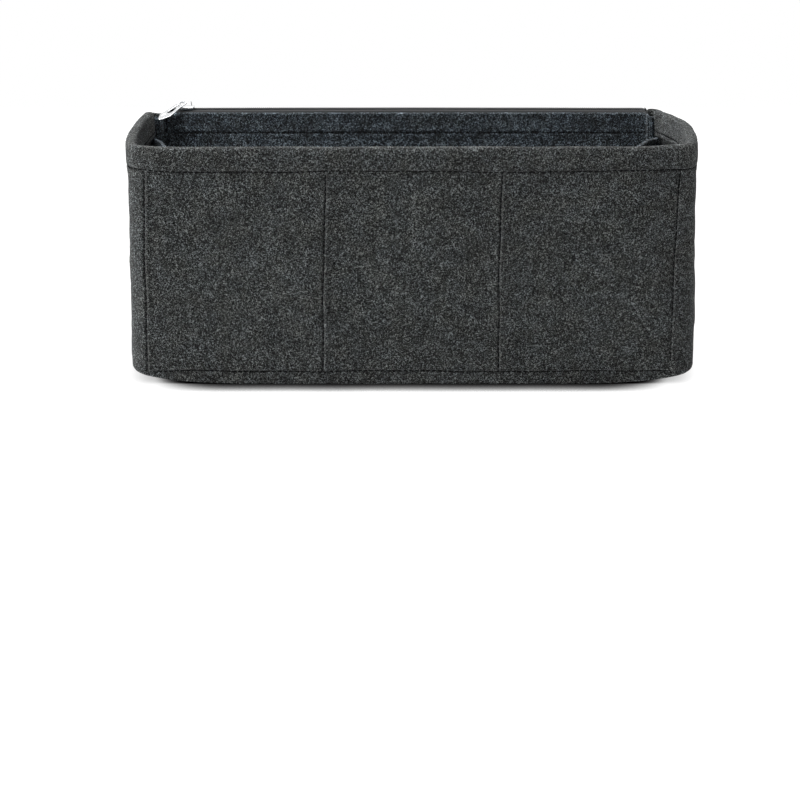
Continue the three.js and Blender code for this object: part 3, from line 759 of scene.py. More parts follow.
# Slants of the four upright lines on the front: how far the foot leans towards -X
foot_slants = {-panel_end_half: 2.1, bay_lines[0]: 2.4, bay_lines[1]: 0.8, panel_end_half: 3.8}
upright_seams = ("left_panel_seam", "left_bay_seam", "right_bay_seam", "right_panel_seam")
wander_depth = 0.35
wander_paces = (17.0, 6.5)
hem_waves = ((0.4, 23.0, 0.0), (0.25, 9.0, 1.0))
base_waves = ((0.3, 19.0, 2.0), (0.2, 7.0, 0.0))


def upright_x(x, z):
    """X of an upright stitch line at a height, with a little wander."""
    slow, quick = wander_paces
    wander = waver(z, ((wander_depth, slow, x), (wander_depth / 2, quick, 2 * x)))
    return x - foot_slants[x] * (1 - z / hem_seam_z) + wander


def hem_line_z(distance):
    """Height of the hem's stitch line along the wall."""
    return hem_seam_z + waver(distance, hem_waves)


def base_line_z(x):
    return base_seam_height + waver(x, base_waves)


# Wall band

wave_depth = 0.5
wave_length = 62.0
dent_depth = 0.22
dent_length = 24.0
lump_depth = 0.07
lump_length = 7.0
calm_height = 20.0          # below this the waves fade out towards the floor
hem_cut_steps = (-0.06, 0.0, 0.25, 0.8)     # the hem's cut ends are rounded at these distances
hem_cut_shares = (0.0, 0.78, 0.94, 1.0)
hem_cut_clearance = 0.3
hem_row_gap = 0.25
hem_edge_shares = ((0.93, 0.45), (0.75, 0.12), (0.5, 0.0), (0.25, 0.1), (0.08, 0.4), (0.02, 0.8))
foot_edge_shares = ((0.96, 0.4), (0.85, 0.12), (0.7, 0.0), (0.3, 0.0), (0.15, 0.12), (0.04, 0.4))


def wall_shift(spots):
    """How far the felt of the wall stands out of its plain form."""
    seed = seeds["wall"]
    wave = wave_depth * ripple(spots, wave_length, seed) + dent_depth * ripple(spots, dent_length, seed + 1)
    return wave * smooth_step(spots[..., 2], 0, calm_height)


def felt_lumps(spots, seed):
    """Small lumps, and half as deep ones between them."""
    fine = ripple(spots, lump_length / 2.2, seed + 1)
    return lump_depth * ripple(spots, lump_length, seed) + lump_depth / 2 * fine


def front_distance(x):
    """Distance along the wall's path to a place on the front face."""
    return wall_plan.length / 2 - x


def wall_point(distance, z, offset):
    """Spots on the wall, at an offset inwards from its outer face, and the way out."""
    outer = np.concatenate([wall_plan.spots(distance), z[..., None]], axis=-1)
    out = np.concatenate([wall_plan.sides(distance), np.zeros_like(z)[..., None]], axis=-1)
    return outer + out * (wall_shift(outer) - offset)[..., None], out


def hem_span():
    """Where along the wall the folded hem starts and ends."""
    dense = np.linspace(0, wall_plan.length, 6000)
    in_hem = dense[wall_plan.spots(dense)[:, 1] <= hem_end_y]
    return in_hem[0], in_hem[-1]


hem_from, hem_to = hem_span()


def band_rows():
    """Section of the wall as pairs of (offset, height): one with the hem, and one without it."""
    fold, plain_fold = wall_felt, wall_felt / 2
    fold_z = body_height + rim_rise - fold
    plain_z = body_height + rim_rise - plain_fold
    outer_z = stations(cut_round, fold_z, outer_row_step, (base_seam_height, hem_seam_z))
    rows = [((0, z), (0, z * plain_z / fold_z)) for z in outer_z]
    for angle in np.linspace(0, math.pi, 15)[1:-1]:
        across = 1 - math.copysign(abs(math.cos(angle)) ** fold_power_share, math.cos(angle))
        up = math.sin(angle) ** fold_power_share
        rows.append(((fold * across, fold_z + fold * up), (plain_fold * across, plain_z + plain_fold * up)))
    hem_z = stations(hem_bottom + cut_round, fold_z, outer_row_step, (hem_seam_z,), hem_seam_near)[::-1]
    low = hem_z[-1]
    stretch = (plain_z - low) / (hem_z[0] - low)
    rows += [((2 * wall_felt, z), (wall_felt, low + (z - low) * stretch)) for z in hem_z]
    for index, (across, up) in enumerate(hem_edge_shares):
        edge = (wall_felt * (1 + across), hem_bottom + cut_round * up)
        rows.append((edge, (wall_felt, low - hem_row_gap * (index + 1))))
    inner = [(wall_felt, z) for z in stations(cut_round, hem_bottom - cut_round, inner_row_step)[::-1]]
    inner += [(wall_felt * across, cut_round * up) for across, up in foot_edge_shares]
    return np.array([*rows, *[(spot, spot) for spot in inner]])


def band_columns():
    """Places along the wall, closer together at the seams and at the hem's cut ends."""
    ends = [hem_from + step for step in hem_cut_steps] + [hem_to - step for step in hem_cut_steps]
    along = stations(0, wall_plan.length, band_step, [front_distance(x) for x in foot_slants])
    clear = [d for d in along if min(abs(d - end) for end in ends) > hem_cut_clearance]
    return np.array(sorted([*clear, *ends]))


def flange_drop(flat, z):
    """How far the flanges slope down to their ends."""
    dip = (1 - smooth_step(np.abs(flat[..., 0]), *flange_dip_zone)) * (flat[..., 1] > hem_end_y)
    return flange_dip * dip * (z / body_height) ** dent_drop_power


def band_relief(points, distance, z, offset, past):
    """What the lumps, the seams and the swelling of the hem add to the plain wall."""
    x = points[..., 0]
    outside = offset < skin
    inside_hem = (offset > 2 * wall_felt - skin) & (past > 0)
    hem_groove = groove(z - hem_line_z(distance))
    swelling = hem_swell * smooth_step(z, hem_seam_z, hem_seam_z + hem_swell_rise)
    relief = felt_lumps(points, seeds["wall_lumps"])
    relief += np.where(outside & (past > 0), hem_groove, 0)
    relief += np.where(outside, swelling * np.interp(past, hem_cut_steps, hem_cut_shares), 0)
    relief -= np.where(inside_hem, hem_groove * hem_inner_share, 0)
    on_front = outside & (points[..., 1] < front_y + front_corner_depth / 2)
    near_base = on_front & (np.abs(x) < front_flat_half)
    relief += np.where(near_base, base_groove_share * groove(z - base_line_z(x)), 0)
    seamed = on_front & (z > base_seam_height) & (z < hem_seam_z)
    for line_x in foot_slants:
        relief += np.where(seamed, pinch(x - upright_x(line_x, z)), 0)
    return relief


def make_wall_band():
    """The long strip of the front and both ends, folded in at the rim as a hem."""
    rows = band_rows()
    columns = band_columns()
    past = np.minimum(columns - hem_from, hem_to - columns)[:, None]
    hemmed = np.interp(past, hem_cut_steps, hem_cut_shares)[..., None]
    section = hemmed * rows[:, 0] + (1 - hemmed) * rows[:, 1]
    offset = section[..., 0]
    distance = np.broadcast_to(columns[:, None], offset.shape)
    flat = wall_plan.spots(distance)
    z = lifted(flat[..., 0], section[..., 1])
    z = z - flange_drop(flat, z)
    points, out = wall_point(distance, z, offset)
    points = points + out * band_relief(points, distance, z, offset, past)[..., None]
    band = mesh_object("wall_band_felt", points, stack_faces(*offset.shape))
    place(band, "wall_felt", "wall_band")


def wall_line(start, end, z_at, sink, offset=0.0, outward=1.0):
    """A level stitch line on a face of the wall."""
    def spots(distance):
        along = start + distance
        points, out = wall_point(along, z_at(along), np.full_like(along, offset))
        return points - out * outward * sink, out * outward
    return end - start, spots


def front_upright(line_x):
    """An upright stitch line on the front wall."""
    def spots(distance):
        z = seam_low + distance
        points, out = wall_point(front_distance(upright_x(line_x, z)), z, np.zeros_like(z))
        return points - out * pinch_sink, out
    return hem_seam_z - seam_end_gap - seam_low, spots


def make_wall_stitches():
    hem = (hem_from + hem_seam_end_gap, hem_to - hem_seam_end_gap, hem_line_z)
    inner = wall_line(*hem, thread_sink * hem_inner_share, offset=2 * wall_felt, outward=-1.0)
    stitches("hem_seam", wall_line(*hem, thread_sink), inner)
    low, high = front_distance(base_seam_half), front_distance(-base_seam_half)
    base = wall_line(low, high, lambda d: base_line_z(front_distance(d)), base_groove_share * thread_sink)
    stitches("base_seam", base)
    for x, seam in zip(foot_slants, upright_seams):
        stitches(seam, front_upright(x))


make_wall_band()
make_wall_stitches()


# Rear wall

rear_bend_start = 150.0
rear_bend_depth = 1.7
rear_wave_share = 0.7
rear_hollow_share = 0.5
rear_calm_zone = (-10.0, 14.0)      # below the rear wall's top


def rear_shift(x, z):
    spots = np.stack([x, np.full_like(x, rear_y), z], axis=-1)
    calm = smooth_step(z, 0, calm_height) * smooth_step(rear_wall_top - z, *rear_calm_zone)
    wave = rear_wave_share * ripple(spots, wave_length, seeds["rear"])
    return wave_depth * (wave - rear_hollow_share) * calm


def rear_middle(x, z):
    """Middle surface of the rear wall."""
    share = np.clip((np.abs(x) - rear_bend_start) / (rear_wall_half - rear_bend_start), 0, 1)
    y = rear_y - wall_felt / 2 - rear_bend_depth * share**2 + rear_shift(x, z)
    return np.stack([x, y, lifted(x, z)], axis=-1)


def rear_relief(spots):
    x, height = spots[..., 0], spots[..., 2]
    lines = groove(np.abs(x) - rear_seam_x) * ((height > base_seam_height) & (height < rear_seam_top))
    lines = lines + groove(height - base_line_z(x)) * (np.abs(x) < front_flat_half)
    lines = lines + groove(height - zip_seam_z) * rear_zip_groove_share * (np.abs(x) < zip_half)
    lumps = felt_lumps(spots, seeds["rear_lumps"])
    return -lumps, lines + lumps


def rear_line(start, end, sink):
    """A straight stitch line on the rear face, between two places given as (x, z)."""
    start, end = np.array(start, float), np.array(end, float)
    length = float(np.linalg.norm(end - start))

    def spots(distance):
        x, z = (start + (end - start) * (distance / length)[:, None]).T
        points = rear_middle(x, z)
        points[:, 1] += wall_felt / 2 - sink
        points[:, 2] = z
        return points, np.tile([0.0, 1.0, 0.0], (len(x), 1))
    return length, spots


def make_rear_wall():
    across = (-rear_wall_half, rear_wall_half, sheet_step, (-rear_seam_x, rear_seam_x))
    along = (0, rear_wall_top, sheet_step, (base_seam_height, zip_seam_z))
    make_sheet("rear_wall", "wall_felt", rear_middle, rear_relief, across, along)
    places = {"rear_base_seam": ((-base_seam_half, base_seam_height), (base_seam_half, base_seam_height)),
              "rear_left_seam": ((-rear_seam_x, seam_low), (-rear_seam_x, rear_seam_top)),
              "rear_right_seam": ((rear_seam_x, seam_low), (rear_seam_x, rear_seam_top)),
              "zip_rear_seam": ((-zip_seam_half, zip_seam_z), (zip_seam_half, zip_seam_z))}
    for seam, (start, end) in places.items():
        share = rear_zip_groove_share if seam == "zip_rear_seam" else 1
        stitches(seam, rear_line(start, end, thread_sink * share))


make_rear_wall()


# Base tray

tray_clearance = 0.1
tray_step = 1.8
tray_bend = 2.2             # radius of the turn from the base into the lip
tray_floor_start = 7.0      # from here inwards the rings close in on the spine of the base
tray_spine_half = 100.0
tray_corner_depth = 2.0
tray_corner_reach = 3.0
tray_notch = ((1.2, 0.0), (-0.4, 0.8))
tray_notch_run = 1.0
tray_ring_shares = (0.86, 0.7, 0.54, 0.38, 0.22, 0.08)
tray_edge_shares = ((0.04, 0.6), (0.15, 0.88), (0.3, 1.0), (0.7, 1.0), (0.85, 0.88), (0.96, 0.6))
tray_lump_from = 1.0        # the face that the insert stands on stays flat


def tray_outline(inset):
    """Outline of the tray in plan: inside the wall, and out to the rear wall between its flanges."""
    distance = np.linspace(0, wall_plan.length, int(wall_plan.length / tray_step))
    inside = wall_plan.spots(distance) - wall_plan.sides(distance) * inset
    behind = flange_y - inset
    around = [spot for spot in inside if spot[1] < behind - tray_corner_depth]
    jog = flange_end_half - seam_gap
    notch = [(rear_corner_half - inset - tray_corner_reach, behind)]
    notch += [(jog + across, behind + out) for across, out in tray_notch]
    notch.append((jog - tray_notch_run, flange_y))
    left = [(-x, y) for x, y in notch]
    return fine_path([*around, *left, *reversed(notch), around[0]], tray_step)[:-1]


def tray_ring(outline, inward, offset):
    """The outline moved inwards, with its corners rounder the further it moves."""
    ring = outline + inward * offset
    for _ in range(math.ceil(offset / tray_step * 2)):
        ring = (np.roll(ring, 1, axis=0) + 2 * ring + np.roll(ring, -1, axis=0)) / 4
    return ring


def tray_rows():
    """Section of the tray's turned-up edge and its bend as (offset, height), up to the felt and under it."""
    lip_top = base_lip_height - cut_round
    turn = [(1 - math.cos(angle), 1 - math.sin(angle)) for angle in np.linspace(0, math.pi / 2, 6)]
    inner = [(0, z) for z in np.linspace(tray_bend, lip_top, 7)[1:]]
    inner += [(wall_felt * across, lip_top + cut_round * up) for across, up in tray_edge_shares]
    inner += [(wall_felt, z) for z in np.linspace(lip_top, wall_felt + tray_bend, 6)[:-1]]
    inner += [(wall_felt + tray_bend * across, wall_felt + tray_bend * up) for across, up in turn]
    outer = [(tray_bend * across, tray_bend * up) for across, up in reversed(turn)]
    return inner, outer


def make_base_tray():
    """The felt base with its edge turned up inside the walls."""
    outline = tray_outline(room_inset + tray_clearance)
    way = ring_way(outline)
    inward = np.stack([way[:, 1], -way[:, 0]], axis=1)
    inner_rows, outer_rows = tray_rows()
    edge = tray_ring(outline, inward, tray_floor_start)
    spine = np.column_stack([np.clip(edge[:, 0], -tray_spine_half, tray_spine_half), np.zeros(len(edge))])
    inner = [spine + (edge - spine) * share for share in tray_ring_shares]
    rings = [(tray_ring(outline, inward, offset), z) for offset, z in inner_rows]
    rings += [(ring, wall_felt) for ring in inner]
    floor_row = len(rings)
    rings += [(ring, 0) for ring in reversed(inner)]
    rings += [(tray_ring(outline, inward, offset), z) for offset, z in outer_rows]
    points = np.array([np.column_stack([ring, lifted(ring[:, 0], np.full(len(ring), float(z)))])
                       for ring, z in rings])
    count = len(outline)
    index = np.arange(len(rings) * count).reshape(len(rings), count)
    faces = grid_faces(floor_row, count, wrap=True)
    faces += grid_faces(len(rings) - floor_row, count, floor_row * count, wrap=True)
    faces += np.stack([index[-1], np.roll(index[-1], -1), np.roll(index[0], -1), index[0]], axis=1).tolist()
    faces += [index[floor_row - 1].tolist(), index[floor_row].tolist()]
    lumps = lump_depth * ripple(points, lump_length * 2, seeds["tray"])
    points[..., 2] += lumps * (points[..., 2] > tray_lump_from)
    tray = mesh_object("base_tray_felt", points, faces)
    place(tray, "wall_felt", "base_tray")


make_base_tray()


# Front pocket panel

pocket_wave = 0.25
pocket_wave_length = 38.0
pocket_wave_bulge = 4.0     # a mouth as wide as this has its full wave
tray_top_zone = (-1.0, 5.0)         # from the tray's lip upwards the panel comes back to the wall
inner_seed_step = 2         # the lumps of an inner sheet take this seed after its waves


def mouth_bulge(x):
    """How far the pocket panel stands off the wall at its top."""
    edges = (-panel_end_half, *bay_lines, panel_end_half)
    total = np.zeros_like(x)
    for name, start, end in zip(mouth_depths, edges, edges[1:]):
        first, peak, last = (start + (end - start) * share for share in mouth_shares[name])
        skew = -math.log(2) / math.log((peak - first) / (last - first))
        share = np.clip((x - first) / (last - first), 0, 1)
        total = total + mouth_depths[name] * np.sin(math.pi * share**skew) ** mouth_power
    return total


def tray_share(height, zone):
    """1 beside the tray's lip and 0 above it."""
    return 1 - smooth_step(height, *(base_lip_height + step for step in zone))


def pocket_middle(x, z):
    height = over_tray(x, z)
    share = np.clip(z / inner_top, 0, 1)
    bulge = mouth_bulge(x) * (mouth_foot_share + (1 - mouth_foot_share) * share)
    bulge = np.maximum(bulge, room_inset * tray_share(height, tray_top_zone))
    spots = np.stack([x, np.full_like(x, front_y), height], axis=-1)
    wave = pocket_wave * ripple(spots, pocket_wave_length, seeds["pocket"])
    wave = wave * np.clip(bulge / pocket_wave_bulge, 0, 1)
    y = front_y + room_inset + inner_felt / 2 + bulge + wave - np.minimum(wall_shift(spots), 0)
    return np.stack([x, y, height], axis=-1)


def pocket_relief(spots):
    lines = sum(groove(spots[..., 0] - upright_x(line_x, spots[..., 2])) for line_x in bay_lines)
    lumps = felt_lumps(spots, seeds["pocket"] + inner_seed_step)
    return -lumps, lines + lumps


def make_pocket_panel():
    across = (-panel_end_half, panel_end_half, pocket_step, bay_lines)
    along = (0, inner_top, inner_row_step)
    make_sheet("front_pocket_panel", "inner_felt", pocket_middle, pocket_relief, across, along)


make_pocket_panel()


# End dividers

divider_wave = 0.6
divider_wave_length = 55.0
divider_wave_zone = (5.0, 60.0)
divider_clearance = 0.4
divider_low_clearance = 0.7
divider_rear_gap = 5.5
divider_tray_zone = (-1.0, 6.0)


def divider_plan(side, form):
    """The plan path of a divider's middle, from rear to front."""
    apex = body_half - form["apex"]
    foot = body_half - divider_foot_inset
    front = front_y + form["front"]
    rear = rear_y - form["rear"]
    y = np.linspace(rear, front, 240)
    reach = np.where(y > form["offset"], rear - form["offset"], form["offset"] - front)
    share = (np.abs(y - form["offset"]) / reach) ** form["power"]
    return Plan(np.column_stack([side * (apex + (foot - apex) * share), y]))


def clear_span(plan, clear):
    """Where along its plan a divider comes clear of the wall."""
    distance = np.linspace(0, plan.length, 400)
    fits = []
    for at, spot, way in zip(distance, plan.spots(distance), plan.sides(distance)):
        faces = (spot + way * inner_felt / 2, spot - way * inner_felt / 2)
        inside = min(wall_plan.nearest(face) for face in faces) > clear
        within = max(abs(face[0]) for face in faces) < body_half - wall_felt
        if inside and within and spot[1] < flange_y - divider_rear_gap:
            fits.append(at)
    return fits[0], fits[-1]


def make_divider(node, side, form):
    plan = divider_plan(side, form)
    wide = clear_span(plan, room_inset + divider_clearance)
    narrow = clear_span(plan, room_inset + wall_felt + divider_low_clearance)
    length = wide[1] - wide[0]
    seed = seeds[node]

    def middle(a, z):
        share = a / length
        low_share = tray_share(z, divider_tray_zone)
        start, end = (wide[i] + (narrow[i] - wide[i]) * low_share for i in (0, 1))
        distance = start + (end - start) * share
        flat = plan.spots(distance)
        spots = np.concatenate([flat, over_tray(flat[..., 0], z)[..., None]], axis=-1)
        free = np.sin(math.pi * np.clip(share, 0, 1)) ** 0.5 * smooth_step(z, *divider_wave_zone)
        moved = divider_wave * ripple(spots, divider_wave_length, seed) * free
        spots[..., :2] += plan.sides(distance) * moved[..., None]
        return spots

    def relief(spots):
        lumps = felt_lumps(spots, seed + inner_seed_step)
        return -lumps, lumps

    across, along = (0, length, sheet_step), (0, inner_top, inner_row_step)
    make_sheet(node, "inner_felt", middle, relief, across, along)


make_divider("left_end_divider", -1, left_divider)
make_divider("right_end_divider", 1, right_divider)


# Zip pocket panel

zip_wave = 0.5
zip_wave_length = 60.0
zip_wave_zone = (5.0, 40.0)
zip_calm_drops = (26.0, 12.0)       # the wave fades out between these, below the panel's top
# A puff stands forward under its pleats.
pleats = ({"start": 143.7, "end": 148.1, "length": 4.4, "depth": 2.6, "puff": 0.0},
          {"start": 147.6, "end": 156.8, "length": 2.7, "depth": 0.8, "puff": 3.8},
          {"start": -155.0, "end": -144.0, "length": 4.6, "depth": 0.9, "puff": 0.0})
pleat_zone = (30.0, 100.0)
pleat_wander = (0.6, 9.0, 0.0)
pleated_shares = (0.012, 0.03, 0.045, 0.955, 0.97, 0.988)


def zip_panel_plan():
    """Middle of the panel in plan: straight, with its ends turned back to the rear wall."""
    back = flange_y - wall_felt - seam_gap
    share = np.linspace(0, 1, 30)
    jog_x = panel_jog_start + (panel_jog_end - panel_jog_start) * share
    jog_y = zip_panel_rear_y + (back - zip_panel_rear_y) * smooth_step(share, 0, 1)
    right = [*zip(jog_x, jog_y), (panel_tail_half, back)]
    left = [(-x, y) for x, y in reversed(right)]
    return Plan(fine_path(np.array([*left, *right]) - (0, inner_felt / 2)))


zip_plan = zip_panel_plan()


def zip_shift(x, z):
    spots = np.stack([x, np.full_like(x, zip_panel_rear_y), z], axis=-1)
    calm = smooth_step(z, *(zip_panel_top - drop for drop in zip_calm_drops))
    free = smooth_step(z, *zip_wave_zone) * (1 - calm)
    return -np.abs(zip_wave * ripple(spots, zip_wave_length, seeds["zip_panel"])) * free


def pleat_shift(x, z):
    """Upright pleats where the panel's ends are drawn back to the rear wall."""
    total = np.zeros_like(x)
    for pleat in pleats:
        share = np.clip((x - pleat["start"]) / (pleat["end"] - pleat["start"]), 0, 1)
        wave = np.sin(2 * math.pi * (x - pleat["start"]) / pleat["length"] + waver(z, [pleat_wander]))
        total = total + (pleat["depth"] * wave - pleat["puff"]) * np.sin(math.pi * share)
    return total * smooth_step(z, *pleat_zone)


def zip_panel_middle(a, z):
    flat = zip_plan.spots(a)
    height = over_tray(flat[..., 0], z)
    y = flat[..., 1] + zip_shift(flat[..., 0], height) + pleat_shift(flat[..., 0], height)
    return np.stack([flat[..., 0], y, height], axis=-1)


def zip_panel_relief(spots):
    lumps = felt_lumps(spots, seeds["zip_panel"] + inner_seed_step)
    shown = np.abs(spots[..., 0]) < zip_half
    return lumps + groove(spots[..., 2] - zip_seam_z) * zip_seam_share * shown, -lumps


def zip_panel_seam(distance):
    x = distance - zip_seam_half
    z = np.full_like(x, zip_seam_z)
    y = zip_panel_rear_y - inner_felt + zip_shift(x, z) + thread_sink * zip_seam_share
    return np.stack([x, y, z], axis=-1), np.tile([0.0, -1.0, 0.0], (len(x), 1))


def make_zip_panel():
    across = (0, zip_plan.length, sheet_step, [zip_plan.length * share for share in pleated_shares])
    along = (0, zip_panel_top, inner_row_step, (zip_seam_z,))
    make_sheet("zip_pocket_panel", "inner_felt", zip_panel_middle, zip_panel_relief, across, along)
    stitches("zip_panel_seam", (2 * zip_seam_half, zip_panel_seam))


make_zip_panel()


# Zip tapes, coils and tacks

chain_bow = 0.23            # the chain stands this much high at its middle and low at its ends
chain_waves = ((0.03, 12.5, 1.0),)
coil_pitch = 1.25
coil_filament = 0.27
coil_head_reach = 0.42
coil_seat = 0.02
coil_slant_share = 0.22
coil_turn_steps = 14
coil_sides = 6
tack_threads = 5
tack_thread_pitch = 0.4
tack_thread_radius = 0.21
tack_sides = 8
tack_lean = 0.08
tack_overhang = 0.3
tack_low_rise = 0.2
tack_high_rise = 0.15
tack_shoulder = 0.5
tack_crown = 0.02
tack_draw = 0.05


def chain_rise(x):
    return chain_bow * (1 - 2 * (x / zip_half) ** 2) + waver(x, chain_waves)


def make_tape(node, outer_y, inward):
    """One tape: a leg down the panel and a level part that carries the coil."""
    edge_y = zip_y - inward * coil_slot / 2
    leg_y = outer_y + inward * tape_thickness / 2
    top = tape_top - tape_thickness / 2
    corner = bezier((leg_y, top - tape_bend), (leg_y, top), (leg_y + inward * tape_bend, top), 8)
    profile = Plan([(leg_y, tape_top - tape_depth), *corner, (edge_y, top)])

    def middle(x, v):
        flat = profile.spots(v)
        return np.stack([x, flat[..., 0], flat[..., 1] + chain_rise(x)], axis=-1)

    across, along = (-zip_half, zip_half, tape_step), (0, profile.length, tape_row_step)
    make_sheet(node, "zip_tape", middle, None, across, along)


def make_coil(node, inward):
    """One row of the chain: slanting loops of filament with their heads towards the middle."""
    head_y = zip_y - inward * coil_head_reach
    tail_y = zip_y - inward * (coil_slot / 2 + coil_width - coil_filament)
    low = tape_top + coil_filament + coil_seat
    high = tape_top + coil_height - coil_filament
    turn = full_turn(coil_turn_steps)
    y = (head_y + tail_y) / 2 + abs(head_y - tail_y) / 2 * np.cos(turn)
    shift = coil_pitch / 2 if inward > 0 else 0
    pile = Pile()
    for index in range(int((2 * zip_half - 2 * coil_pitch) / coil_pitch)):
        x = -zip_half + coil_pitch + index * coil_pitch + shift
        z = (low + high) / 2 + (high - low) / 2 * np.sin(turn) + chain_rise(x)
        slant = coil_pitch * coil_slant_share * np.sin(turn)
        pile.tube(np.column_stack([x + slant, y, z]), coil_filament, coil_sides, closed=True)
    place(pile.build(node + "_loops"), "zip_coil", node)


def make_tack(node, x):
    """A bar of thread sewn over both rows."""
    half = coil_slot / 2 + coil_width + tack_overhang
    low, high = tape_top + tack_low_rise, tape_top + coil_height + tack_high_rise
    shoulder = high - tack_shoulder
    pile = Pile()
    for index in range(tack_threads):
        at = x + tack_thread_pitch * (index - (tack_threads - 1) / 2)
        lean = tack_lean * (index % 2)
        path = [(at, -half, low), (at, tack_draw - half, shoulder), (at + lean, tack_shoulder - half, high),
                (at, 0, high + tack_crown), (at - lean, half - tack_shoulder, high),
                (at, half - tack_draw, shoulder), (at, half, low)]
        pile.tube(np.array(path) + (0, zip_y, chain_rise(x)), tack_thread_radius, tack_sides)
    place(pile.build(node + "_threads"), "thread", node)


make_tape("zip_tape_front", zip_panel_rear_y + seam_gap, 1)
make_tape("zip_tape_rear", rear_inner_y - seam_gap, -1)
make_coil("zip_coil_front", 1)
make_coil("zip_coil_rear", -1)
make_tack("zip_left_end_tack", tack_inset - zip_half)
make_tack("zip_right_end_tack", zip_half - tack_inset)


# Slider and pull, in their own frames

slider_length = 9.6
slider_width = 7.1
slider_tail_width = 5.8
slider_shoulder = 5.4
slider_shoulder_run = 1.5
slider_plate = 0.8
slider_clearance = 0.3
slider_cut = 1.2
slider_bevel = 0.3
slider_dome = 0.12
slider_lower_bevel = 0.25
slider_rest_gap = 2.1
tack_length = 2.0
side_lip = 0.6
side_lip_inset = 0.05
side_lip_front = 0.5
side_lip_rear = 0.7
side_lip_bevel = 0.12
side_lip_step = 0.5
post_width = 0.55
post_cut = 0.2
post_length_share = 0.24
post_forward = 2.6
post_bevel = 0.05
post_root = 0.2
bridge_width = 1.3
bridge_band = 0.6
bridge_front = -4.6
bridge_rear = 3.2
bridge_rise = 2.85
bridge_leg_inset = 0.45
bridge_root = 0.3
bridge_bend = 1.0
bridge_step = 0.35
bridge_square_power = 0.6
pull_pivot_x = -2.1
pull_pivot_rise = 2.25
pull_yaw = 46.0
pull_tilt = 22.0
pull_thickness = 0.75
pull_bevel = 0.18
pull_bar = 0.9
pull_length = 22.3
pull_top_width = 6.4
pull_corner = 0.9
pull_corner_start = 1.0
pull_waist_width = 5.6
pull_waist_at = 5.0
pull_widest = 9.3
pull_widest_at = 15.0
pull_tip_width = 1.4
pull_tip_length = 0.45
pull_tip_flare = 0.15
pull_tip_draw = 0.1
pull_sharp_angle = 28.0
eye_width = 5.0
eye_reach = 3.1
eye_corner = 0.8
slot_start = 4.0
slot_end = 13.6
slot_start_width = 1.8
slot_end_width = 3.4
recess_at = 17.0
recess_length = 4.3
recess_width = 5.9
recess_depth = 0.35
# The recess as shares of its width, each with the height there from the pull's face
recess_shares = ((1.06, 0.6), (1.0, 0.0), (0.93, -0.2), (0.8, -0.3), (0.5, -recess_depth), (0.2, -0.37))
plate_top = tape_top + coil_height + slider_clearance + slider_plate
slider_x = slider_rest_gap + tack_length / 2 + slider_length / 2 - (zip_half - tack_inset)


def slider_plan(width, tail_width, cut=slider_cut, steps=5):
    """Plan of the slider: square at the front, narrower towards its tail, with rounded corners."""
    front, rear = -slider_length / 2, slider_length / 2
    shoulder = front + slider_shoulder
    run = slider_shoulder_run
    half, tail = width / 2, tail_width / 2
    corner_front = bezier((front, -half + cut), (front, -half), (front + cut, -half), steps)
    corner_rear = bezier((rear - cut, -tail), (rear, -tail), (rear, -tail + cut), steps)
    side = bezier((shoulder - run, -half), (shoulder, -half), (shoulder + run, -(half + tail) / 2), steps)
    lower = [*corner_front, *side, *corner_rear]
    return np.array([*lower, *mirror(lower)])


def side_lip_outline(sign):
    """Plan of the lip that closes one side of the slider."""
    front, rear = -slider_length / 2 + side_lip_front, slider_length / 2 - side_lip_rear
    shoulder = front + slider_shoulder
    inner = slider_tail_width / 2 - side_lip
    half, tail = slider_width / 2 - side_lip_inset, slider_tail_width / 2 - side_lip_inset
    outline = np.array([(front, inner), (rear, inner), (rear, tail), (shoulder, half), (front, half)])
    outline = outline if sign > 0 else (outline * (1, -1))[::-1]
    return fine_path([*outline, outline[0]], side_lip_step)[:-1]


def bridge_rings():
    """Rings of the band that arches over the slider and holds the pull."""
    rise = bridge_rise + bridge_band / 2
    low = rise - bridge_bend
    front, rear = bridge_front + bridge_leg_inset, bridge_rear - bridge_leg_inset
    front_bend = bezier((front, low), (front, rise), (front + bridge_bend, rise), 8)
    rear_bend = bezier((rear - bridge_bend, rise), (rear, rise), (rear, low), 8)
    path = fine_path([(front, -bridge_root), *front_bend, *rear_bend, (rear, -bridge_root)], bridge_step)
    way = unit(np.gradient(path, axis=0))
    angle = full_turn(16)
    cos, sin = (np.sign(v) * np.abs(v) ** bridge_square_power for v in (np.cos(angle), np.sin(angle)))
    across, thick = cos * bridge_width / 2, sin * bridge_band / 2
    return [np.column_stack([spot[0] - ahead[1] * thick, across, spot[1] + ahead[0] * thick])
            for spot, ahead in zip(path, way)]


def make_slider():
    lip_bottom = tape_top + slider_clearance - plate_top
    lower_top = tape_top - tape_thickness - slider_clearance - plate_top
    lower_width = zip_space - 2 * (seam_gap + tape_thickness + slider_clearance)
    post = slider_plan(post_width, post_width, post_cut) * (post_length_share, 1) - (post_forward, 0)
    half_plate = slider_plate / 2
    pile = Pile()
    pile.plate(slider_plan(slider_width, slider_tail_width), -slider_plate, 0, slider_bevel, slider_dome)
    for sign in (-1, 1):
        pile.plate(side_lip_outline(sign), lip_bottom, -half_plate, side_lip_bevel)
    pile.plate(slider_plan(lower_width, lower_width), lower_top - slider_plate, lower_top, slider_lower_bevel)
    pile.plate(post, lower_top - post_root, -half_plate, post_bevel)
    pile.stack(bridge_rings())
    slider = pile.build("zip_slider_body", soft=False)
    slider.data.transform(Matrix.Translation(Vector((slider_x, zip_y, plate_top)) * MM))
    place(slider, "bright_metal", "zip_slider", "slider")


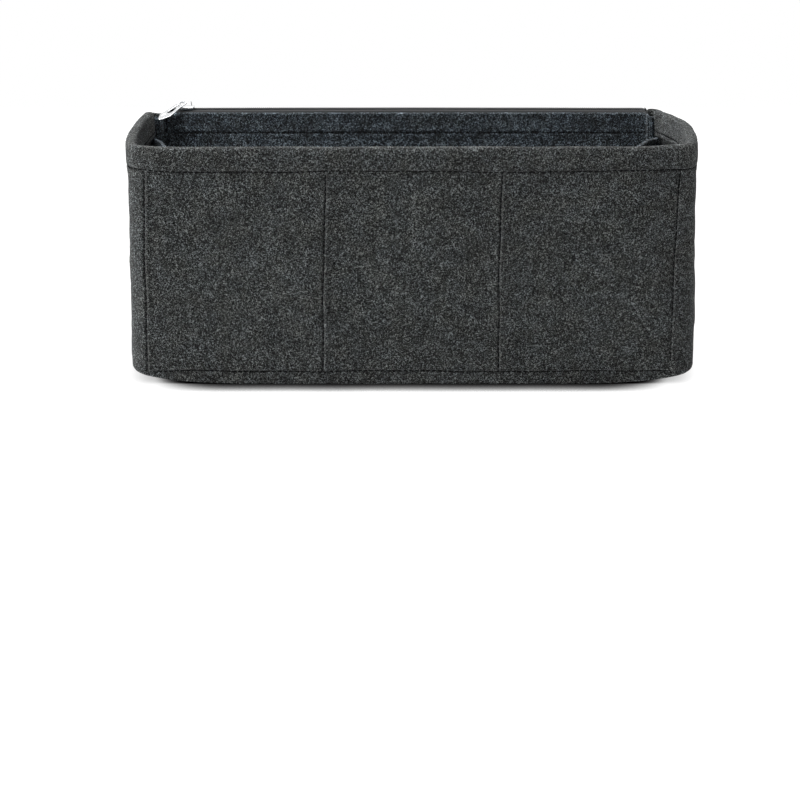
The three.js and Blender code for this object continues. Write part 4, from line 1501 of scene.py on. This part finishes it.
def pull_outline():
    """The pull's outline, from the bar to the tip and back."""
    top = -pull_bar / 2
    tip = top + pull_length
    side, wide_y = -pull_top_width / 2, -pull_widest / 2
    middle = (pull_waist_at + pull_widest_at) / 2, -(pull_waist_width + pull_widest) / 4
    wide = (pull_widest_at + recess_at) / 2, wide_y
    bend = recess_at + recess_length / 2, -recess_width / 2
    near_tip = tip - pull_tip_length, -pull_tip_width / 2 - pull_tip_flare
    lower = [(top, side + pull_corner_start)]
    lower += list(bezier((top, side + pull_corner), (top, side), (top + pull_corner, side), 6))
    lower += list(bezier((eye_reach, side), (pull_waist_at, -pull_waist_width / 2), middle, 12))
    lower += list(bezier(middle, (pull_widest_at, wide_y), wide, 10)[1:])
    lower += list(bezier(wide, bend, near_tip, 16)[1:])
    lower += list(bezier(near_tip, (tip, -pull_tip_width / 2 + pull_tip_draw), (tip, 0), 6)[1:])
    return [*lower, *mirror(lower[:-1])]


def eye_outline():
    """The hole that the bridge passes through."""
    near, side = pull_bar / 2, -eye_width / 2
    first = bezier((near, 0), (near, side), (near + eye_corner, side), 6)[3:]
    second = bezier((eye_reach - eye_corner, side), (eye_reach, side), (eye_reach, side + eye_corner), 6)
    lower = [(near, side + eye_corner), *first, *second]
    return [*lower, *mirror(lower)]


def slot_outline():
    """The long slot, wider towards the tip."""
    far, near = slot_end_width / 2, slot_start_width / 2
    turns = [(math.cos(angle), math.sin(angle)) for angle in np.linspace(-math.pi / 2, math.pi / 2, 12)]
    outline = [(slot_end - far + far * across, far * up) for across, up in turns]
    return outline + [(slot_start + near - near * across, -near * up) for across, up in turns]


def pull_curve():
    """The pull's outline with its eye and slot, as a flat bevelled curve."""
    curve = bpy.data.curves.new("pull_shape", "CURVE")
    curve.dimensions = "2D"
    curve.fill_mode = "BOTH"
    curve.extrude = (pull_thickness / 2 - pull_bevel) * MM
    curve.bevel_depth = pull_bevel * MM
    curve.bevel_resolution = 3
    curve.offset = -pull_bevel * MM
    for outline in (pull_outline(), eye_outline(), slot_outline()):
        spline = curve.splines.new("POLY")
        spline.points.add(len(outline) - 1)
        for target, (x, y) in zip(spline.points, outline):
            target.co = (x * MM, y * MM, 0, 1)
        spline.use_cyclic_u = True
    return curve


def recess_cutter():
    """The form that is cut out of the pull's face for its blank oval recess."""
    turn = full_turn(48)
    across, along = recess_width / 2 * np.sin(turn), recess_length / 2 * np.cos(turn)
    oval = np.column_stack([along, across, np.zeros(len(turn))])
    cutter = Pile()
    cutter.stack([oval * share + (recess_at, 0, pull_thickness / 2 + z) for share, z in recess_shares])
    return cutter.build("pull_cutter", soft=False)


def worked_out(obj):
    """An object's mesh, with its curve or modifier worked out."""
    bpy.context.view_layer.update()
    graph = bpy.context.evaluated_depsgraph_get()
    return bpy.data.meshes.new_from_object(obj.evaluated_get(graph))


def make_pull():
    """The pull: a bevelled plate with an eye, a long slot and a blank oval recess."""
    shape = linked("pull_shape", pull_curve())
    bowl = recess_cutter()
    plate = linked("zip_pull_plate", worked_out(shape))
    clean(plate.data, sliver_length)
    cut = plate.modifiers.new("recess", "BOOLEAN")
    cut.operation = "DIFFERENCE"
    cut.solver = "EXACT"
    cut.object = bowl
    final = worked_out(plate)
    plate.modifiers.clear()
    plate.data = final
    for scrap in (shape, bowl):
        bpy.data.objects.remove(scrap)
    yaw = Matrix.Rotation(math.pi + math.radians(pull_yaw), 4, "Z")
    tilt = Matrix.Rotation(math.radians(pull_tilt), 4, "Y")
    spot = Vector((slider_x + pull_pivot_x, zip_y, plate_top + pull_pivot_rise)) * MM
    final.transform(Matrix.Translation(spot) @ (yaw @ tilt))
    final.polygons.foreach_set("use_smooth", [True] * len(final.polygons))
    final.set_sharp_from_angle(angle=math.radians(pull_sharp_angle))
    place(plate, "bright_metal", "zip_pull", "pull")


make_slider()
make_pull()


# Floor, light and camera

floor_white = 1.2           # the open floor is seen as white
floor_pale = 0.75           # and gives this share of its light back to the felt
floor_half = 800.0
shadow_reach = 18.0         # the painted shadow hugs the foot of the wall
shadow_power = 6.5
shadow_end_power = 0.35     # and thins out under the lifted corners
shadow_fade_start = 105.0
shadow_fade_end = 150.0
world_light = 0.055
softboxes = ({"name": "top_box", "spot": (-400.0, 0.0, 1450.0), "aim_z": 50.0, "size": (1200.0, 1100.0),
              "power": 33.0},
             {"name": "left_box", "spot": (-1150.0, -700.0, 750.0), "aim_z": 100.0, "size": (800.0, 600.0),
              "power": 10.0},
             {"name": "right_box", "spot": (1250.0, -150.0, 750.0), "aim_z": 100.0, "size": (800.0, 600.0),
              "power": 2.4})


def white_floor():
    """A pale floor that the camera, glass and metal see as white, with a painted contact shadow from ambient
    occlusion.
    """
    recipe = Recipe("floor_finish", Base_Color=(floor_pale, floor_pale, floor_pale, 1), Roughness=0.9)
    axes = recipe.node("ShaderNodeSeparateXYZ", Vector=recipe.place).outputs
    sideways = recipe.math("ABSOLUTE", axes["X"])
    power = recipe.node("ShaderNodeMapRange", {"interpolation_type": "SMOOTHSTEP"}, Value=sideways,
                        From_Min=shadow_fade_start * MM, From_Max=shadow_fade_end * MM,
                        To_Min=shadow_power, To_Max=shadow_end_power)
    # Painted shadow: ambient occlusion, raised to a power, darkens the floor's glow near the insert
    shadow = recipe.node("ShaderNodeAmbientOcclusion", {"samples": 16}, Distance=shadow_reach * MM)
    painted_shadow = recipe.math("POWER", shadow.outputs["AO"], power.outputs["Result"])
    seen = recipe.node("ShaderNodeEmission", Color=painted_shadow, Strength=floor_white)
    recipe.show(seen, recipe.shader, "Material Output")
    edge = floor_half * MM
    mesh = bpy.data.meshes.new("floor")
    corners = [(-edge, -edge, 0), (edge, -edge, 0), (edge, edge, 0), (-edge, edge, 0)]
    mesh.from_pydata(corners, [], [(0, 1, 2, 3)])
    floor = linked("floor", mesh)
    mesh.materials.append(recipe.material)


def studio_world():
    """White to the camera, and a soft grey light to everything else."""
    world = bpy.data.worlds.new("studio")
    bpy.context.scene.world = world
    world.use_nodes = True
    nodes = Nodes(world.node_tree)
    light = nodes.tree.nodes["Background"]
    light.inputs["Color"].default_value = (0.96, 0.98, 1, 1)
    light.inputs["Strength"].default_value = world_light
    white = nodes.node("ShaderNodeBackground", Color=(1, 1, 1, 1), Strength=1.0)
    nodes.show(white, light, "World Output")


def softbox(name, spot, aim_z, size, power):
    lamp = bpy.data.lights.new(name, "AREA")
    lamp.shape = "RECTANGLE"
    lamp.size, lamp.size_y = (side * MM for side in size)
    lamp.energy = power
    obj = linked(name, lamp)
    obj.location = [value * MM for value in spot]
    aim = Vector((0, 0, aim_z * MM)) - obj.location
    obj.rotation_euler = aim.to_track_quat("-Z", "Y").to_euler()


# The camera looks a little down on the front, at the place that the photograph gives
image_size = 800
focal_pixels = 2361.0
camera_pitch = 17.55
camera_distance = 1370.0
camera_target = (-6.5, -70.0, -9.75)
camera_range = 60000.0
sensor_width = 36.0


def make_camera():
    data = bpy.data.cameras.new("camera")
    data.sensor_width = sensor_width
    data.lens = sensor_width * focal_pixels / image_size
    data.clip_end = camera_range * MM
    camera = linked("camera", data)
    pitch = math.radians(camera_pitch)
    forward = Vector((0, math.cos(pitch), -math.sin(pitch)))
    camera.location = (Vector(camera_target) - forward * camera_distance) * MM
    camera.rotation_euler = forward.to_track_quat("-Z", "Y").to_euler()
    bpy.context.scene.camera = camera


white_floor()
studio_world()
for form in softboxes:
    softbox(**form)
make_camera()
bpy.context.scene.view_settings.view_transform = "Standard"
